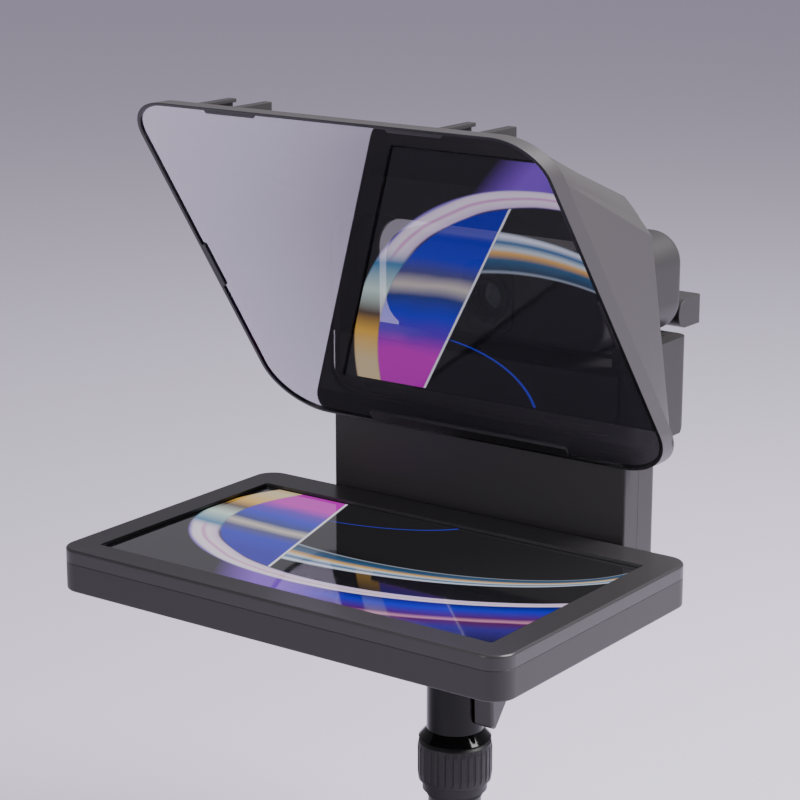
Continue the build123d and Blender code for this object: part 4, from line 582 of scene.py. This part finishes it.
inner_sweep = colour_ramp(inner_level, [
    (0.30, (0.00, 0.00, 0.40)), (0.46, (0.00, 0.01, 0.55)), (0.53, (0.06, 0.06, 0.22)),
    (0.58, (0.62, 0.56, 0.50)), (0.63, (0.01, 0.03, 0.22)), (0.70, (0.00, 0.01, 0.60)),
    (0.78, (0.10, 0.01, 0.52)), (0.86, (0.60, 0.00, 0.52)), (1.00, (0.55, 0.00, 0.50)),
])
picture = lay_over(picture, inner_sweep, maths(
    picture_group, "MULTIPLY",
    between(big_band, 1.0, FAR, RIBBON_SOFT), between(left_of_cut, 0.0, FAR, 0.003)))
picture = lay_over(picture, CUT_LIGHT, maths(
    picture_group, "MULTIPLY",
    between(left_of_cut, -0.004, 0.002, 0.0015), between(big_band, 0.9, FAR, RIBBON_SOFT)))
small_light = colour_ramp(spread(picture_group, small_band, 0.0, 1.0, -1.0, 1.0), [
    (0.00, (0.60, 0.68, 0.80)), (0.12, (0.02, 0.05, 0.10)), (0.34, (0.02, 0.10, 0.22)),
    (0.50, (0.78, 0.42, 0.10)), (0.60, (0.60, 0.68, 0.72)), (0.74, (0.02, 0.12, 0.30)),
    (0.88, (0.75, 0.80, 0.95)), (1.00, (0.01, 0.06, 0.10)),
])
picture = lay_over(picture, small_light, maths(
    picture_group, "MULTIPLY", between(small_band, -0.92, 0.92, 0.06),
    maths(picture_group, "MULTIPLY",
          between(left_of_cut, -FAR, -0.004, 0.003), between(big_band, 1.0, FAR, RIBBON_SOFT))))
big_level = maths(picture_group, "ADD", big_band, maths(picture_group, "MULTIPLY", ripple, 6.0))
big_light = colour_ramp(big_level, [
    (0.00, (0.26, 0.18, 0.62)), (0.10, (0.86, 0.72, 0.92)), (0.34, (0.92, 0.84, 0.95)),
    (0.46, (0.72, 0.30, 0.66)), (0.60, (0.90, 0.80, 0.92)), (0.90, (0.74, 0.56, 0.86)),
    (1.00, (0.05, 0.03, 0.12)),
])
warm_end = colour_ramp(maths(picture_group, "ADD", along, ripple), [
    (0.42, (0.90, 0.80, 0.92)), (0.50, (0.03, 0.20, 0.42)), (0.62, (0.60, 0.78, 0.70)),
    (0.72, (0.10, 0.06, 0.04)), (0.80, (0.82, 0.46, 0.06)), (0.92, (0.70, 0.55, 0.30)),
])
big_light = lay_over(big_light, warm_end, maths(
    picture_group, "MULTIPLY",
    between(along, 0.46, FAR, RIBBON_SOFT), between(across, -FAR, 0.30, RIBBON_SOFT)))
picture = lay_over(picture, big_light, between(big_band, 0.0, 1.0, RIBBON_SOFT))
thin_arc = oval(centre=(0.20, 1.10), half_width=0.36, half_height=0.33)
picture = lay_over(picture, ARC_BLUE, maths(
    picture_group, "MULTIPLY",
    between(thin_arc, 0.988, 1.006, 0.003), between(left_of_cut, -FAR, -0.01, 0.02)))
inside = maths(
    picture_group, "MULTIPLY",
    between(across, FRAME_X, 1.0 - FRAME_X, 0.0005), between(along, FRAME_Y, 1.0 - FRAME_Y, 0.0008))
picture = lay_over(UNLIT, picture, inside)
picture_group.links.new(picture, picture_out.inputs["Light"])

smudge_group, smudge_in, smudge_out = new_group(
    "handled_gloss",
    [("Roughness", "Float", 0.05), ("Smudge", "Float", 0.06), ("Scale", "Float", 35.0)],
    [("Roughness", "Float")],
)
place = add_node(smudge_group, "TexCoord").outputs["Object"]
wiped = add_node(smudge_group, "TexNoise", {
    "Vector": place, "Scale": smudge_in.outputs["Scale"], "Detail": 6.0, "Distortion": 2.0}).outputs["Fac"]
film = maths(smudge_group, "MULTIPLY",
             spread(smudge_group, wiped, 0.0, 1.0, 0.45, 0.75), smudge_in.outputs["Smudge"])
smudge_group.links.new(
    maths(smudge_group, "ADD", smudge_in.outputs["Roughness"], film), smudge_out.inputs["Roughness"])

screen_finish, screen_tree, screen_shader = new_finish(
    "screen_glass", Base_Color=(0.006, 0.006, 0.007, 1.0), Emission_Strength=1.0, Coat_Weight=0.6,
    Coat_Roughness=0.03)
place_group(screen_tree, screen_shader, picture_group, {"Light": "Emission Color"})
place_group(screen_tree, screen_shader, smudge_group, {"Roughness": "Roughness"},
            Roughness=0.04, Smudge=0.05)
dress(screen_finish, "display_glass")


# ---------------------------------------------------------------- half-mirror
# The hood's window is a float-glass plate with a half-silvered coating on its front face.
# It throws the display back at the reader and lets the webcam see out through it.
COAT_SHARE = 0.64
COAT_DEPTH = 0.0004
FACE_AGREES = 0.9
COAT_TINT = (0.90, 0.87, 0.97, 1.0)
EDGE_TINT = (0.02, 0.03, 0.03, 1.0)
mirror_finish, mirror_tree, mirror_shader = new_finish("half_mirror", Metallic=1.0)
mirror_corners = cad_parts["mirror_glass"].data.vertices
front_level = max(corner.co.dot(Vector(RIM_FACING)) for corner in mirror_corners)
mirror_place = add_node(mirror_tree, "TexCoord")
level = add_node(mirror_tree, "VectorMath", {
    0: mirror_place.outputs["Object"], 1: RIM_FACING}, operation="DOT_PRODUCT").outputs["Value"]
facing = add_node(mirror_tree, "VectorMath", {
    0: mirror_place.outputs["Normal"], 1: RIM_FACING}, operation="DOT_PRODUCT").outputs["Value"]
edge = maths(mirror_tree, "LESS_THAN", maths(mirror_tree, "ABSOLUTE", facing), FACE_AGREES)
coated = maths(mirror_tree, "MULTIPLY", maths(mirror_tree, "GREATER_THAN", level, front_level - COAT_DEPTH),
               maths(mirror_tree, "SUBTRACT", 1.0, edge))
cover = maths(mirror_tree, "ADD", maths(mirror_tree, "MULTIPLY", coated, COAT_SHARE), edge, clamp=True)
mirror_tree.links.new(cover, mirror_shader.inputs["Alpha"])
coat_tone = add_node(mirror_tree, "MixRGB", {"Fac": edge, "Color1": COAT_TINT, "Color2": EDGE_TINT})
mirror_tree.links.new(coat_tone.outputs["Color"], mirror_shader.inputs["Base Color"])
place_group(mirror_tree, mirror_shader, smudge_group, {"Roughness": "Roughness"}, Roughness=0.0, Smudge=0.02)
dress(mirror_finish, "mirror_glass")


# ---------------------------------------------------------------- black parts inside the hood
# What the webcam looks past is kept black: a flocked lining, a foam ring behind the glass, the clips that
# hold the glass, and the moulded shroud round the webcam's nose.
black_plastic = moulded("black_plastic", (0.012, 0.011, 0.012), 0.38, Grain_Depth=0.00002)
dress(black_plastic,
      "camera_shroud", "top_glass_clips", "side_glass_clips", "bottom_glass_bar", "board_posts")
flock = moulded("black_flock", (0.006, 0.006, 0.006), 0.95, Grain_Scale=4200.0, Grain_Depth=0.0002,
                Edge_Tone=0.0, shine=0.1)
dress(flock, "hood_lining", "glass_gasket")


# ---------------------------------------------------------------- webcam
# A wide rounded webcam in satin grey plastic. A black plate round the lens stands a little proud,
# and an anodised ring frames a coated glass element in a ribbed black barrel.
WEBCAM_COLOUR = (0.034, 0.031, 0.033)
webcam_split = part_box("camera_front_shell")[1].y
dress(moulded_half("webcam_plastic", WEBCAM_COLOUR, 0.46, "Y", webcam_split),
      "camera_front_shell", "camera_rear_shell")
dress(moulded("arm_plastic", WEBCAM_COLOUR, 0.46, shine=0.4), "clip_arm")
dress(moulded("lens_plate_plastic", (0.010, 0.010, 0.011), 0.22, Grain_Depth=0.00001), "lens_panel")

dark_anodised = turned_metal("dark_anodised", (0.035, 0.034, 0.036), 0.33)
dress(dark_anodised, "lens_ring")
BARREL_CHAMFER = 0.0003
BARREL_LIP = 0.0006
BARREL_MOUTH = 0.0020
BARREL_BORE_R = 0.0062
BARREL_STEPS = 5
low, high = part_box("lens_barrel")
barrel_r = (high.x - low.x) / 2
barrel_length = high.y - low.y
sections = [(barrel_length, barrel_r, False), (BARREL_CHAMFER, barrel_r, False),
            (0.0, barrel_r - BARREL_CHAMFER, False), (0.0, barrel_r - BARREL_LIP, False)]
step_in = (barrel_r - BARREL_LIP - BARREL_BORE_R) / BARREL_STEPS
for i in range(BARREL_STEPS):
    step_r = barrel_r - BARREL_LIP - i * step_in
    step_depth = (i + 1) * BARREL_MOUTH / BARREL_STEPS
    sections.append((step_depth, step_r, False))
    sections.append((step_depth, step_r - step_in, False))
sections.append((barrel_length, BARREL_BORE_R, False))
mesh = bmesh.new()
lathe(mesh, sections, [(0.0, low.y, (low.z + high.z) / 2)], (0, -1, 0), hollow=True)
built_piece("ribbed_lens_barrel", mesh, dark_anodised, "camera", "anodised", "lens_barrel")
lens_finish, lens_tree, lens_shader = new_finish(
    "lens_glass", IOR=1.6, Transmission_Weight=1.0, Base_Color=(0.80, 0.86, 1.0, 1.0))
place_group(lens_tree, lens_shader, smudge_group, {"Roughness": "Roughness"}, Roughness=0.0, Smudge=0.02)
dress(lens_finish, "lens_front_element", "lens_rear_element")
dress(turned_metal("sensor_face", (0.05, 0.03, 0.09), 0.15), "image_sensor")


# ---------------------------------------------------------------- platform
# The webcam stands on a rubber pad on the platform. A fluted knob locks the platform's height on the
# column, and a second one under the pad carries the webcam's screw.
rubber = moulded("rubber", (0.018, 0.018, 0.019), 0.72, Grain_Scale=1500.0, Grain_Depth=0.00008,
                 Edge_Tone=0.1, shine=0.3)
dress(rubber, "platform_pad", "tube_ring")
dress(moulded("knob_plastic", (0.030, 0.029, 0.031), 0.45), "platform_knob", "camera_screw")


# ---------------------------------------------------------------- ball head and lever
# The head's housing and flared foot are polished black; the ball, neck and disc are one turned steel bar.
head_gloss, head_tree, head_shader = new_finish(
    "head_gloss", Base_Color=(0.002, 0.002, 0.002, 1.0), Specular_IOR_Level=0.15, Coat_Weight=0.12,
    Coat_Roughness=0.04)
place_group(head_tree, head_shader, smudge_group, {"Roughness": "Roughness"},
            Roughness=0.10, Smudge=0.05, Scale=60.0)
dress(head_gloss, "ball_housing", "pan_base")
dress(turned_metal("ball_steel", (0.55, 0.55, 0.57), 0.18), "ball_stem")
dress(moulded("lever_plastic", (0.035, 0.033, 0.034), 0.33), "lock_lever")


# ---------------------------------------------------------------- mast
# A satin dark tube, a thinner tube that slides in it, and a moulded collar with grip flutes that
# squeezes a split sleeve between the two.
dress(moulded("collar_plastic", (0.011, 0.0105, 0.011), 0.42, Grain_Scale=2000.0, shine=0.35), "mast_collar")
dress(turned_metal("tube_metal", (0.075, 0.071, 0.075), 0.38), "lower_tube", "base_plug")
dress(turned_metal("bright_tube", (0.62, 0.62, 0.64), 0.25), "inner_tube", "heat_sink")
dress(moulded("acetal", (0.62, 0.60, 0.56), 0.4), "ball_cup", "collet", "guide_bush")


# ---------------------------------------------------------------- steelwork
# The bracket, nuts, rails, pin and inlet shell are plain zinc-bright steel, bent, turned or pressed.
# The webcam's screw bush is brass, pressed into its moulding.
dress(turned_metal("plain_steel", (0.42, 0.42, 0.43), 0.32),
      "support_bracket", "mount_nut", "clamp_nut", "usb_port", "clip_pin", "platform_rails")
dress(turned_metal("insert_brass", (0.62, 0.42, 0.16), 0.3), "tripod_insert")


# ---------------------------------------------------------------- electronics
# The circuit boards are glass-fibre sheet under a green solder mask, screwed or stood on posts.
# The display panel is a bonded stack whose rear sheet is coated dark grey.
dress(moulded("solder_mask", (0.010, 0.055, 0.025), 0.3, Grain_Scale=800.0),
      "display_board", "sensor_board", "camera_main_board")
dress(moulded("panel_sheet", (0.03, 0.03, 0.035), 0.5), "display_panel")
